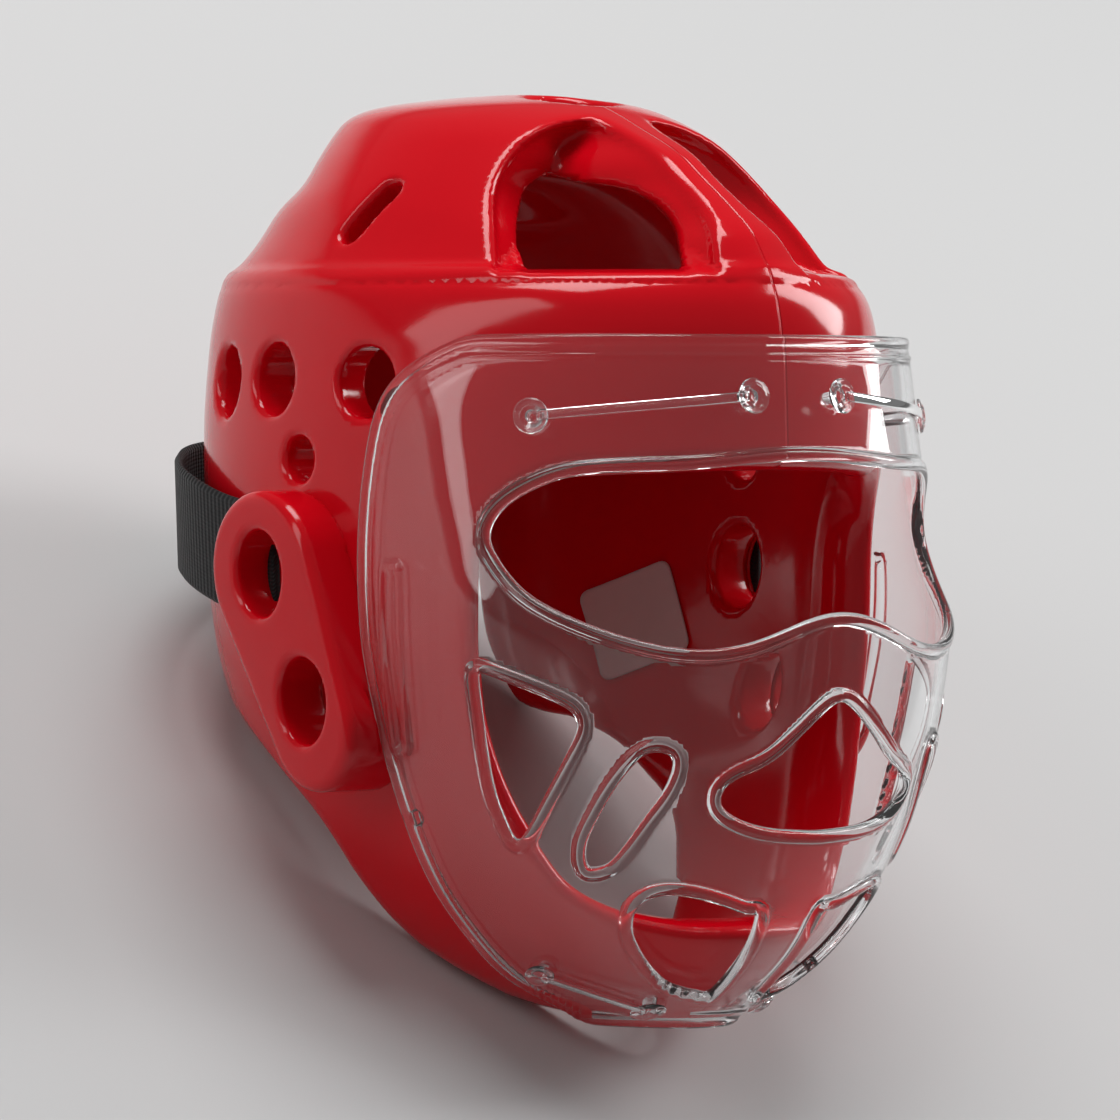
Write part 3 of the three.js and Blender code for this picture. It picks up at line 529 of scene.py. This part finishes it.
def addNode(tree, kind, inputs=(), **settings):
    node = tree.nodes.new(kind)
    for key, value in settings.items():
        setattr(node, key, value)
    for key, value in dict(inputs).items():
        if isinstance(value, bpy.types.NodeSocket):
            tree.links.new(value, node.inputs[key])
        else:
            node.inputs[key].default_value = value
    return node


def bumpChain(tree, shader, layers):
    # several bumps, each (height socket, distance in metres, strength)
    normal = None
    for height, distance, strength in layers:
        inputs = {"Height": height, "Distance": distance, "Strength": strength}
        if normal:
            inputs["Normal"] = normal
        normal = addNode(tree, "ShaderNodeBump", inputs).outputs["Normal"]
    tree.links.new(normal, shader.inputs["Normal"])


redVinyl = {
    "red": (0.70, 0.002, 0.010, 1), "deep": (0.58, 0.001, 0.007, 1), "rough": (0.09, 0.15),
    "seamWidth": 0.0007, "seamDepth": 0.0004,
}


def makeRedVinyl():
    material, tree, shader = startMaterial("redVinyl")
    where = addNode(tree, "ShaderNodeTexCoord").outputs["Object"]
    cloud = addNode(tree, "ShaderNodeTexNoise", {"Vector": where, "Scale": 18, "Detail": 3}).outputs["Fac"]
    ripple = addNode(tree, "ShaderNodeTexNoise", {"Vector": where, "Scale": 90, "Detail": 2}).outputs["Fac"]
    grain = addNode(tree, "ShaderNodeTexNoise", {"Vector": where, "Scale": 1400, "Detail": 2}).outputs["Fac"]
    tint = addNode(
        tree, "ShaderNodeMix", {"Factor": cloud, "A": redVinyl["red"], "B": redVinyl["deep"]},
        data_type="RGBA")
    tree.links.new(tint.outputs["Result"], shader.inputs["Base Color"])
    low, high = redVinyl["rough"]
    rough = addNode(tree, "ShaderNodeMapRange", {
        "Value": cloud, "From Min": 0.3, "From Max": 0.7, "To Min": low, "To Max": high})
    tree.links.new(rough.outputs["Result"], shader.inputs["Roughness"])
    shader.inputs["IOR"].default_value = 1.42
    across = addNode(tree, "ShaderNodeSeparateXYZ", {0: where}).outputs["X"]
    off = addNode(tree, "ShaderNodeMath", {0: across}, operation="ABSOLUTE").outputs[0]
    seam = addNode(
        tree, "ShaderNodeMapRange", {"Value": off, "From Max": redVinyl["seamWidth"]},
        interpolation_type="SMOOTHSTEP").outputs["Result"]
    bumpChain(tree, shader, [
        (ripple, 0.0005, 0.15), (grain, 0.00005, 0.14), (seam, redVinyl["seamDepth"], 0.8)])
    return material


clearSheet = {
    "tint": (0.97, 0.985, 0.99, 1), "index": 1.42, "clearness": 0.985, "rough": (0.005, 0.02),
    "shade": (0.93, 0.94, 0.945, 1),
}


def makeClearSheet():
    material, tree, shader = startMaterial("clearSheet")
    where = addNode(tree, "ShaderNodeTexCoord").outputs["Object"]
    shader.inputs["Base Color"].default_value = clearSheet["tint"]
    shader.inputs["Transmission Weight"].default_value = clearSheet["clearness"]
    shader.inputs["IOR"].default_value = clearSheet["index"]
    haze = addNode(tree, "ShaderNodeTexNoise", {"Vector": where, "Scale": 30, "Detail": 4}).outputs["Fac"]
    low, high = clearSheet["rough"]
    rough = addNode(tree, "ShaderNodeMapRange", {
        "Value": haze, "From Min": 0.35, "From Max": 0.75, "To Min": low, "To Max": high})
    tree.links.new(rough.outputs["Result"], shader.inputs["Roughness"])
    wave = addNode(tree, "ShaderNodeTexNoise", {"Vector": where, "Scale": 40, "Detail": 1}).outputs["Fac"]
    bumpChain(tree, shader, [(wave, 0.0004, 0.06)])
    seeThrough = addNode(tree, "ShaderNodeBsdfTransparent", {"Color": clearSheet["shade"]})
    light = addNode(tree, "ShaderNodeLightPath")
    soft = addNode(
        tree, "ShaderNodeMath", {0: light.outputs["Is Shadow Ray"], 1: light.outputs["Is Diffuse Ray"]},
        operation="MAXIMUM")
    mix = addNode(tree, "ShaderNodeMixShader", {
        0: soft.outputs[0], 1: shader.outputs[0], 2: seeThrough.outputs[0]})
    tree.links.new(mix.outputs[0], tree.nodes["Material Output"].inputs["Surface"])
    return material


webbingWeave = {"gap": (0.003, 0.003, 0.0035, 1), "thread": (0.012, 0.012, 0.013, 1), "rough": 0.62}


def makeWebbing():
    material, tree, shader = startMaterial("blackWebbing")
    uv = addNode(tree, "ShaderNodeTexCoord").outputs["UV"]
    ribs = addNode(
        tree, "ShaderNodeTexWave", {"Vector": uv, "Scale": 130, "Distortion": 0.4, "Detail": 1},
        bands_direction="X").outputs["Fac"]
    threads = addNode(
        tree, "ShaderNodeTexWave", {"Vector": uv, "Scale": 260, "Distortion": 0.3, "Detail": 1},
        bands_direction="Y").outputs["Fac"]
    fuzz = addNode(tree, "ShaderNodeTexNoise", {"Vector": uv, "Scale": 2200, "Detail": 3}).outputs["Fac"]
    tint = addNode(
        tree, "ShaderNodeMix", {"Factor": threads, "A": webbingWeave["gap"], "B": webbingWeave["thread"]},
        data_type="RGBA")
    tree.links.new(tint.outputs["Result"], shader.inputs["Base Color"])
    shader.inputs["Roughness"].default_value = webbingWeave["rough"]
    shader.inputs["Sheen Weight"].default_value = 0.08
    shader.inputs["Sheen Roughness"].default_value = 0.4
    shader.inputs["Specular IOR Level"].default_value = 0.3
    bumpChain(tree, shader, [(ribs, 0.0005, 0.6), (threads, 0.0003, 0.5), (fuzz, 0.0001, 0.5)])
    return material


def makeLabelPaper():
    material, tree, shader = startMaterial("labelPaper")
    where = addNode(tree, "ShaderNodeTexCoord").outputs["Object"]
    fibre = addNode(tree, "ShaderNodeTexNoise", {"Vector": where, "Scale": 500, "Detail": 4}).outputs["Fac"]
    cloud = addNode(tree, "ShaderNodeTexNoise", {"Vector": where, "Scale": 60, "Detail": 3}).outputs["Fac"]
    tint = addNode(
        tree, "ShaderNodeMix", {"Factor": cloud, "A": (0.62, 0.55, 0.52, 1), "B": (0.72, 0.66, 0.63, 1)},
        data_type="RGBA")
    tree.links.new(tint.outputs["Result"], shader.inputs["Base Color"])
    shader.inputs["Roughness"].default_value = 0.45
    bumpChain(tree, shader, [(cloud, 0.0008, 0.3), (fibre, 0.00008, 0.4)])
    return material


redSkin = makeRedVinyl()
clearSkin = makeClearSheet()
webbing = makeWebbing()
labelPaper = makeLabelPaper()
print("materials made")

shellPoints, shellFaces, shellNormals = carve(foamGap, (-104, -127, -4), (104, 127, 298), foam["cell"])
shellPiece = carvedPiece(
    "foamShell", shellPoints, shellFaces, shellNormals, redSkin, "foam_shell")
print("foam shell:", len(shellFaces), "faces")


# Clear face shield, carved on a grid of bearing, height and depth, then bent into its form

shield = {
    "top": 215, "sweep": 71.5, "reach": 147.015, "width": 205.9, "wall": 2.4, "bead": 2.15, "rimBead": 1.7,
    "power": 2.3, "cell": (0.66, 1.3, 0.6),
}
# share of height; share of reach and half width; edge bearing as a share of the sweep
shield["sections"] = [
    (0.012, 0.560, 0.250, 0.330), (0.075, 0.690, 0.520, 0.670), (0.135, 0.790, 0.640, 0.780),
    (0.220, 0.860, 0.775, 0.865), (0.330, 0.935, 0.870, 0.920), (0.430, 0.983, 0.930, 0.950),
    (0.590, 1.000, 0.992, 0.980), (0.690, 0.935, 1.000, 0.985), (0.890, 0.855, 0.992, 0.945),
    (0.950, 0.842, 0.984, 0.880), (0.982, 0.834, 0.976, 0.790), (1.000, 0.830, 0.970, 0.680)]
# openings: bearing share of the sweep, low and high share of the top
shield["eye"] = [
    (-0.669, 0.712, 0.726), (-0.636, 0.679, 0.763), (-0.587, 0.637, 0.786), (-0.503, 0.602, 0.812),
    (-0.420, 0.577, 0.819), (-0.336, 0.558, 0.821), (-0.252, 0.551, 0.823), (-0.168, 0.563, 0.828),
    (-0.084, 0.591, 0.833), (0.000, 0.607, 0.835)]
shield["mouth"] = [
    (-0.224, 0.340, 0.367), (-0.196, 0.319, 0.388), (-0.140, 0.302, 0.409), (-0.084, 0.295, 0.449),
    (-0.042, 0.293, 0.479), (0.000, 0.291, 0.498)]
shield["cheek"] = [
    (-0.685, 0.502, 0.535), (-0.664, 0.372, 0.537), (-0.636, 0.312, 0.530), (-0.608, 0.279, 0.523),
    (-0.573, 0.286, 0.514), (-0.517, 0.358, 0.498), (-0.476, 0.419, 0.481), (-0.462, 0.447, 0.460)]
shield["slant"] = [
    (-0.462, 0.260, 0.288), (-0.448, 0.242, 0.316), (-0.420, 0.242, 0.360), (-0.392, 0.251, 0.395),
    (-0.364, 0.279, 0.419), (-0.336, 0.316, 0.428), (-0.308, 0.353, 0.423), (-0.294, 0.386, 0.409)]
shield["chin"] = [
    (-0.350, 0.158, 0.195), (-0.322, 0.126, 0.214), (-0.280, 0.098, 0.221), (-0.224, 0.074, 0.216),
    (-0.168, 0.062, 0.205), (-0.112, 0.056, 0.191), (-0.070, 0.060, 0.181)]
shield["rib"] = [
    (-0.908, 0.430, 0.660), (-0.898, 0.415, 0.675), (-0.874, 0.415, 0.675), (-0.862, 0.430, 0.660)]
shield["sideHole"] = (-0.872, 0.315)
shield["table"] = smoothTable(shield["sections"], shield["top"], 0.5, 4.0)


def shieldSpot(bearing, height):
    # point on the outer face, from a bearing in degrees and a height
    heights, columns = shield["table"]
    front = np.interp(height, heights, columns[0]) * shield["reach"]
    side = np.interp(height, heights, columns[1]) * shield["width"] / 2
    turn = np.radians(bearing)
    x = np.sin(turn)
    y = -np.cos(turn)
    radius = 1 / ovalRatio(x, y, front, side, side, shield["power"], foam["backPower"])[2]
    return np.stack([x * radius, y * radius, height + 0 * radius], axis=-1)


def shieldAxes(bearing, height):
    # directions along, up and square out of the sheet, with millimetres in a degree and in a step up
    along = (shieldSpot(bearing + 0.5, height) - shieldSpot(bearing - 0.5, height))
    up = (shieldSpot(bearing, height + 0.5) - shieldSpot(bearing, height - 0.5))
    alongLength = np.linalg.norm(along, axis=-1, keepdims=True)
    upLength = np.linalg.norm(up, axis=-1, keepdims=True)
    along = along / alongLength
    up = up / upLength
    out = np.cross(along, up)
    return along, up, out / np.linalg.norm(out, axis=-1, keepdims=True), alongLength, upLength


def openingOutline(rows, side=1, count=220):
    rows = [tuple(row) for row in rows]
    if rows[-1][0] == 0:
        rows = rows + [(-bearing, low, high) for bearing, low, high in rows[-2::-1]]
    top = [(bearing, high) for bearing, _, high in rows]
    low = [(bearing, under) for bearing, under, _ in rows[::-1]]
    flat = np.array(top + low) * [shield["sweep"] * side, shield["top"]]
    scaled = flat * [1.9, 1]
    outline = roundedOutline(scaled, count)
    for axis in (0, 1):
        outline[:, axis] = soften(np.tile(outline[:, axis], 3), 2.6)[count:2 * count]
    return outline / [1.9, 1]


def rimOutline(count=700):
    heights, columns = shield["table"]
    edge = columns[2] * shield["sweep"]
    right = np.stack([edge, heights], axis=1)
    whole = np.vstack([right, right[::-1] * [-1, 1]])
    outline = roundedOutline(whole * [1.9, 1], count, curved=False)
    for axis in (0, 1):
        outline[:, axis] = soften(np.tile(outline[:, axis], 3), 4)[count:2 * count]
    return outline / [1.9, 1]


def sheetField(outline, bearings, heights, spots):
    # true distances on the sheet from an outline, positive outside it
    line = shieldSpot(outline[:, 0], outline[:, 1])
    near = np.full(spots.shape[:2], 14.0)
    margin = 12
    aLow, bLow = outline.min(axis=0) - [margin / 1.6, margin]
    aHigh, bHigh = outline.max(axis=0) + [margin / 1.6, margin]
    rows = np.where((bearings >= aLow) & (bearings <= aHigh))[0]
    cols = np.where((heights >= bLow) & (heights <= bHigh))[0]
    part = spots[rows[0]:rows[-1] + 1, cols[0]:cols[-1] + 1]
    best = np.full(part.shape[:2], 14.0)
    for start, end in zip(line, np.roll(line, -1, axis=0)):
        run = end - start
        share = np.clip(((part - start) @ run) / max(run @ run, 1e-9), 0, 1)
        best = np.minimum(best, np.linalg.norm(part - start - share[..., None] * run, axis=-1))
    near[rows[0]:rows[-1] + 1, cols[0]:cols[-1] + 1] = best
    inside = insideOutline(bearings[:, None], heights[None, :], outline)
    return np.where(inside, -near, near)


def makeShield():
    cellBearing, cellHeight, cellDepth = shield["cell"]
    bearings = np.arange(-75, 75.01, cellBearing)
    heights = np.arange(-2, shield["top"] + 4, cellHeight)
    depths = np.arange(-5.1, 4.0, cellDepth)
    spots = shieldSpot(bearings[:, None], heights[None, :])
    rim = sheetField(rimOutline(), bearings, heights, spots)
    loops = [openingOutline(shield["eye"]), openingOutline(shield["mouth"])]
    for name in ("cheek", "slant", "chin"):
        loops += [openingOutline(shield[name], side) for side in (1, -1)]
    openings = np.minimum.reduce([sheetField(loop, bearings, heights, spots) for loop in loops])
    ribs = [openingOutline(shield["rib"], side) for side in (1, -1)]
    ribs = np.minimum.reduce([sheetField(loop, bearings, heights, spots) for loop in ribs])
    holeBearing, holeHeight = shield["sideHole"]
    holeSpot = shieldSpot(np.array([holeBearing * shield["sweep"]]), np.array([holeHeight * shield["top"]]))
    mirrored = spots * np.where(spots[..., :1] > 0, [-1, 1, 1], 1)
    holes = np.linalg.norm(mirrored - holeSpot, axis=-1) - 2.5
    corner = (bearings[0], heights[0])
    flat = [{"low": corner, "step": 1, "values": values} for values in (rim, openings, ribs, holes)]

    def gap(a, b, w):
        # a and b count cells of the flat grid, w is millimetres out from the sheet
        rimAt, openAt, ribAt, holeAt = [readField(field, a + corner[0], b + corner[1]) for field in flat]
        middle = w + shield["wall"] / 2
        sheet = np.abs(middle) - shield["wall"] / 2
        sheet = smoothMax(sheet, rimAt, 0.8)
        sheet = np.maximum(sheet, -openAt)
        sheet = smoothMax(sheet, -holeAt, 0.8)
        beads = np.hypot(openAt, w + 0.9) - shield["bead"]
        ribBead = np.hypot(ribAt, w + 0.6) - shield["bead"] * 0.8
        edge = np.hypot(rimAt + 1.0, middle) - shield["rimBead"]
        edgeLine = np.hypot(rimAt + 6.0, w + 0.4) - 0.9
        made = smoothMin(sheet, beads, 0.7)
        made = smoothMin(made, ribBead, 0.7)
        made = smoothMin(made, edgeLine, 0.7)
        return smoothMin(made, edge, 0.7)

    a = np.arange(len(bearings))[:, None, None].astype(float)
    b = np.arange(len(heights))[None, :, None].astype(float)
    values = gap(a, b, depths[None, None, :])
    values = np.clip(values, -2.5, 2.5).astype(np.float32)
    grid = openvdb.FloatGrid(2.5)
    grid.copyFromArray(np.ascontiguousarray(values))
    cells, quads = grid.convertToQuads(0.0)
    cells = cells.astype(np.float64)
    place = cells * [1, 1, cellDepth] + [0, 0, depths[0]]

    def spread(place):
        bearing = place[:, 0] * cellBearing + bearings[0]
        height = place[:, 1] * cellHeight + heights[0]
        along, up, out, alongLength, upLength = shieldAxes(bearing, height)
        return bearing, height, along, up, out, alongLength[:, 0] * cellBearing, upLength[:, 0] * cellHeight

    reach = 0.12
    for turn in range(4):
        bearing, height, along, up, out, sizeA, sizeB = spread(place)
        here = gap(*place.T)
        slope = []
        for axis, size in enumerate((sizeA, sizeB, 1)):
            step = np.zeros(3)
            step[axis] = reach
            rise = gap(*(place + step).T) - gap(*(place - step).T)
            slope.append(rise / (2 * reach) / size)
        slope = np.stack(slope, axis=1)
        if turn < 3:
            move = here[:, None] * slope / np.maximum((slope ** 2).sum(axis=1), 0.25)[:, None]
            move = np.clip(move, -0.4, 0.4)
            place = place - move / np.stack([sizeA, sizeB, np.ones(len(sizeA))], axis=1)
    points = shieldSpot(bearing, height) + out * place[:, 2:]
    normals = slope[:, :1] * along + slope[:, 1:2] * up + slope[:, 2:] * out
    normals /= np.maximum(np.linalg.norm(normals, axis=1), 1e-6)[:, None]
    carvedPiece("faceShield", points, quads, normals, clearSkin, "face_shield")
    print("face shield:", len(quads), "faces")


makeShield()

# Padded ear covers

ear = {
    "reach": 112, "lean": 4, "height": 93, "edgeRound": 4, "holeRound": 3, "cell": 1.5,
    "upper": (0.013, 0.485, 0.280), "lower": (-0.160, 0.327, 0.220), "crown": 1.2,
}


def eggGap(y, z):
    # distance from the egg outline round an upper and a lower circle
    circles = (ear["upper"], ear["lower"])
    upper, lower = [np.array([along * foam["back"], up * foam["height"]]) for along, up, _ in circles]
    big, small = ear["upper"][2] * ear["height"], ear["lower"][2] * ear["height"]
    apart = np.linalg.norm(lower - upper)
    down = (lower - upper) / apart
    y = y - upper[0]
    z = z - upper[1]
    run = y * down[0] + z * down[1]
    off = np.abs(y * down[1] - z * down[0])
    slip = (big - small) / apart
    hold = math.sqrt(1 - slip ** 2)
    key = -slip * off + hold * run
    return np.where(
        key < 0, np.hypot(off, run) - big,
        np.where(key > hold * apart, np.hypot(off, run - apart) - small, off * hold + run * slip - big))


def sheetGap(x, y, z):
    # rough distance from the face shield, so that an ear cover stops clear of it
    heights, columns = shield["table"]
    front = np.interp(z, heights, columns[0]) * shield["reach"]
    side = np.interp(z, heights, columns[1]) * shield["width"] / 2
    ratio = ovalRatio(x, y, front, side, side, shield["power"], foam["backPower"])[2]
    radius = np.hypot(x, y)
    depth = np.abs(radius - radius / ratio + shield["wall"] / 2) - shield["wall"] / 2
    edge = np.interp(z, heights, columns[2]) * shield["sweep"]
    past = (np.degrees(np.arctan2(np.abs(x), -y)) - edge) * math.radians(1) * radius
    return np.maximum(np.maximum(depth, past), z - shield["top"])


def earGap(x, y, z):
    lean = math.radians(ear["lean"])
    middle = ear["upper"][1] * foam["height"]
    egg = eggGap(y + 0 * z, z + 0 * y) + 0 * x
    face = (x - ear["reach"]) * math.cos(lean) - (z - middle) * math.sin(lean)
    face = face + ear["crown"] * np.clip(1 + egg / 24, 0, 1) ** 2
    gap = smoothMax(egg, face, ear["edgeRound"])
    for hole in foam["earHoles"]:
        gap = smoothMax(gap, -earHoleGap(y + 0 * x, z + 0 * x, hole), ear["holeRound"])
    gap = smoothMax(gap, -(outerGap(x, y, z) + 0.8), 1.2)
    return smoothMax(gap, -(sheetGap(x, y, z) - 0.9), 1)


earPoints, earFaces, earNormals = carve(earGap, (84, -46, 70), (118, 34, 178), ear["cell"])
for name, side in (("earCoverLeft", 1), ("earCoverRight", -1)):
    turn = [side, 1, 1]
    earPiece = carvedPiece(
        name, earPoints * turn, earFaces, earNormals * turn, redSkin,
        "ear_pad_left" if side > 0 else "ear_pad_right")
print("ear covers:", len(earFaces), "faces each")


def loftPiece(rings):
    # points and faces through rings of points, closed at both ends
    rings = np.asarray(rings)
    count, sides, _ = rings.shape
    points = rings.reshape(-1, 3)
    faces = []
    for ring in range(count - 1):
        for place in range(sides):
            after = (place + 1) % sides
            here = ring * sides
            faces.append((here + place, here + after, here + sides + after, here + sides + place))
    faces.append(tuple(range(sides))[::-1])
    faces.append(tuple(range((count - 1) * sides, count * sides)))
    return points, faces


def plainPiece(name, points, faces, material, node, uv=None):
    mesh = startMesh(name, points, faces)
    if uv is not None:
        layer = mesh.uv_layers.new(name="lengths")
        corners = np.zeros(len(mesh.loops), dtype=int)
        mesh.loops.foreach_get("vertex_index", corners)
        layer.data.foreach_set("uv", np.asarray(uv)[corners].astype(np.float32).ravel())
    return addPiece(mesh, material, node)


# Elastic nape strap

strap = {"width": 36, "thickness": 2.6, "slack": 7.5, "edge": 1.1, "lift": 1}
# bearing, share of the slack, share of the height at the band's middle
strap["route"] = [
    (96, 0.05, 0.488), (104, 0.08, 0.496), (112, 0.30, 0.504), (122, 0.65, 0.520), (134, 0.92, 0.538),
    (150, 1.00, 0.556), (165, 1.00, 0.563), (180, 1.00, 0.565)]


def makeStrap():
    route = np.array(strap["route"])
    route = np.vstack([route, route[-2::-1] * [-1, 1, 1] + [360, 0, 0]])
    bearings = np.linspace(route[0, 0], route[-1, 0], 220)
    standoff = soften(gentleCurve(route[:, 0], route[:, 1], bearings), 4) * strap["slack"]
    middle = soften(gentleCurve(route[:, 0], route[:, 2], bearings), 4) * foam["height"] + strap["lift"]
    turn = np.radians(bearings)
    low = middle - strap["width"] / 2
    high = middle + strap["width"] / 2
    lowRadius = shellRadius(turn, low)
    highRadius = shellRadius(turn, high)
    half = strap["thickness"] / 2
    across = np.linspace(-1, 1, 26)
    thin = np.minimum(1, ((1 - np.abs(across)) * strap["width"] / 2 / strap["edge"]) ** 0.5 + 0.25)
    section = [(share, half * size) for share, size in zip(across, thin)]
    section += [(share, -half * size) for share, size in zip(across[::-1], thin[::-1])]
    travelled = np.concatenate([[0], np.cumsum(np.hypot(
        *np.diff(np.stack([np.sin(turn), np.cos(turn)]) * (lowRadius + standoff), axis=1)))])
    rings = []
    uv = []
    for place, angle in enumerate(turn):
        ring = []
        for share, rise in section:
            part = (share + 1) / 2
            wall = lowRadius[place] * (1 - part) + highRadius[place] * part
            radius = wall + standoff[place] + half + rise
            height = low[place] * (1 - part) + high[place] * part
            ring.append((math.sin(angle) * radius, -math.cos(angle) * radius, height))
            uv.append((travelled[place] / 1000, (share * strap["width"] / 2 + rise) / 1000))
        rings.append(ring)
    points, faces = loftPiece(rings)
    plainPiece("napeStrap", points, faces, webbing, "nape_strap", uv)


makeStrap()
print("strap made")


# Clear rivet bars that hold the shield to the foam

clip = {
    "bar": (3.2, 1.6), "seat": 0.35, "socket": 8,
    "ends": {"top": (0.112, 0.560, 0.916, 0.888), "chin": (0.215, 0.545, 0.040, 0.092)},
}
# the head, turned round its post: radius, height above the sheet
clip["profile"] = [
    (0.0, 1.3), (0.7, 1.35), (1.3, 1.7), (1.9, 2.15), (2.7, 2.35), (3.5, 2.1), (4.1, 1.65), (4.7, 1.5),
    (5.3, 1.25), (5.5, 0.9), (5.45, 0.45), (5.1, 0.25), (2.4, 0.25), (2.2, 0.0)]


def clipParts(name, node, ends, side):
    start, finish, startHeight, finishHeight = ends
    spots = []
    for share, height in ((start, startHeight), (finish, finishHeight)):
        bearing = np.array([share * shield["sweep"]])
        level = np.array([height * shield["top"]])
        along, up, out, _, _ = shieldAxes(bearing, level)
        spots.append((shieldSpot(bearing, level)[0], along[0], up[0], out[0], bearing[0], level[0]))
    points = []
    faces = []

    def add(more, moreFaces):
        first = len(points)
        points.extend(np.asarray(more).tolist())
        faces.extend([tuple(index + first for index in face) for face in moreFaces])

    for base, along, up, out, bearing, level in spots:
        room = np.linalg.norm(base[:2]) - shellRadius(np.radians([bearing]), np.array([level]))[0]
        profile = clip["profile"] + [(2.2, -room - clip["socket"] + 1), (0.0, -room - clip["socket"])]
        rings = []
        for radius, rise in profile:
            angle = np.linspace(0, 2 * np.pi, 40, endpoint=False)[:, None]
            radius = max(radius, 0.02)
            around = along * np.cos(angle) + up * np.sin(angle)
            rings.append(base + out * (rise + clip["seat"]) + radius * around)
        add(*loftPiece(rings))
    width, thick = clip["bar"]
    rings = []
    for share in np.linspace(0.03, 0.97, 60):
        bearing = np.array([(start + (finish - start) * share) * shield["sweep"]])
        level = np.array([(startHeight + (finishHeight - startHeight) * share) * shield["top"]])
        base = shieldSpot(bearing, level)[0]
        along, up, out, _, _ = [axis[0] for axis in shieldAxes(bearing, level)]
        angle = np.linspace(0, 2 * np.pi, 20, endpoint=False)[:, None]
        wide = np.sign(np.cos(angle)) * np.abs(np.cos(angle)) ** 0.8 * width / 2
        tall = np.sign(np.sin(angle)) * np.abs(np.sin(angle)) ** 0.8 * thick / 2
        rings.append(base + up * wide + out * (tall + clip["seat"] + 0.05 + thick / 2))
    add(*loftPiece(rings))
    points = np.array(points) * [side, 1, 1]
    if side > 0:
        faces = [face[::-1] for face in faces]
    made = plainPiece(name, points, faces, clearSkin, node)
    for polygon in made.data.polygons:
        if len(polygon.vertices) > 4:
            polygon.use_smooth = False


clipParts("clipTopLeft", "clip_top_left", clip["ends"]["top"], 1)
clipParts("clipTopRight", "clip_top_right", clip["ends"]["top"], -1)
clipParts("clipChinLeft", "clip_chin_left", clip["ends"]["chin"], 1)
clipParts("clipChinRight", "clip_chin_right", clip["ends"]["chin"], -1)
print("clips made")


# Plain sticker on the inner wall

label = {
    "size": (35, 31), "corner": 3.5, "bearing": 120.5, "turn": -20, "middle": 0.424,
    "thickness": 0.8, "seat": 0.35,
}


def makeLabel():
    wide, tall = label["size"]
    corner = label["corner"]
    turn = math.radians(label["turn"])
    outline = []
    for cornerX, cornerY, first in ((1, 1, 0), (-1, 1, 90), (-1, -1, 180), (1, -1, 270)):
        for angle in np.radians(first + np.linspace(0, 90, 9)):
            outline.append((
                cornerX * (wide / 2 - corner) + corner * math.cos(angle),
                cornerY * (tall / 2 - corner) + corner * math.sin(angle)))
    outline = roundedOutline(outline, 120, curved=False)
    flat = np.array([outline * share for share in np.linspace(1, 0.02, 16)]).reshape(-1, 2)
    right = flat[:, 0] * math.cos(turn) - flat[:, 1] * math.sin(turn)
    up = flat[:, 0] * math.sin(turn) + flat[:, 1] * math.cos(turn) + label["middle"] * foam["height"]
    bearing = math.radians(label["bearing"])
    outward = np.array([math.sin(bearing), -math.cos(bearing), 0])
    sideways = np.cross([0, 0, 1], outward)
    base = right[:, None] * sideways + up[:, None] * np.array([0, 0, 1])
    near = np.full(len(base), 30.0)
    far = np.full(len(base), 115.0)
    for _ in range(30):
        middle = (near + far) / 2
        inside = hollowGap(*(base + middle[:, None] * outward).T) < -label["seat"]
        near = np.where(inside, middle, near)
        far = np.where(inside, far, middle)
    outerSide = base + near[:, None] * outward
    innerSide = base + (near - label["thickness"])[:, None] * outward
    rings = np.concatenate([
        outerSide.reshape(16, 120, 3)[::-1], innerSide.reshape(16, 120, 3)])
    points, faces = loftPiece(rings)
    plainPiece("innerLabel", points, faces, labelPaper, "inner_label")


makeLabel()
print("label made")


# Pale floor and soft studio light

studio = {"floor": (0.58, 0.58, 0.58, 1), "world": 0.16}


def makeStudio():
    bpy.ops.mesh.primitive_plane_add(size=30, location=(0, 0, 0))
    floor = bpy.context.object
    floor.name = "floor"
    material, _, shader = startMaterial("paleFloor")
    shader.inputs["Base Color"].default_value = studio["floor"]
    shader.inputs["Roughness"].default_value = 0.6
    floor.data.materials.append(material)
    world = bpy.data.worlds.new("studio")
    world.use_nodes = True
    world.node_tree.nodes["Background"].inputs["Color"].default_value = (1, 1, 1, 1)
    world.node_tree.nodes["Background"].inputs["Strength"].default_value = studio["world"]
    bpy.context.scene.world = world
    bpy.context.scene.view_settings.view_transform = "Standard"


# softboxes: direction from the head as it stands upright, distance, width, height, watts
softboxes = {
    "overhead": ((-0.05, -0.10, 1.0), 1700, 1300, 700, 22),
    "right": ((1.0, -0.45, 0.55), 1900, 500, 1500, 20),
    "left": ((-1.0, -0.10, 0.50), 1800, 500, 1500, 7),
}


def makeLight(name, direction, distance, width, height, watts):
    data = bpy.data.lights.new(name, "AREA")
    data.shape = "RECTANGLE"
    data.size = width / 1000
    data.size_y = height / 1000
    data.energy = watts
    made = bpy.data.objects.new(name, data)
    bpy.context.collection.objects.link(made)
    direction = np.array(direction) / np.linalg.norm(direction)
    middle = np.array([0, 0, 150])
    made.location = layBack(middle + direction * distance)[0]
    made.rotation_mode = "QUATERNION"
    made.rotation_quaternion = Vector(turnBack(direction)[0]).to_track_quat("Z", "Y")


makeStudio()
for boxName, boxValues in softboxes.items():
    makeLight(boxName, *boxValues)
print("studio made")
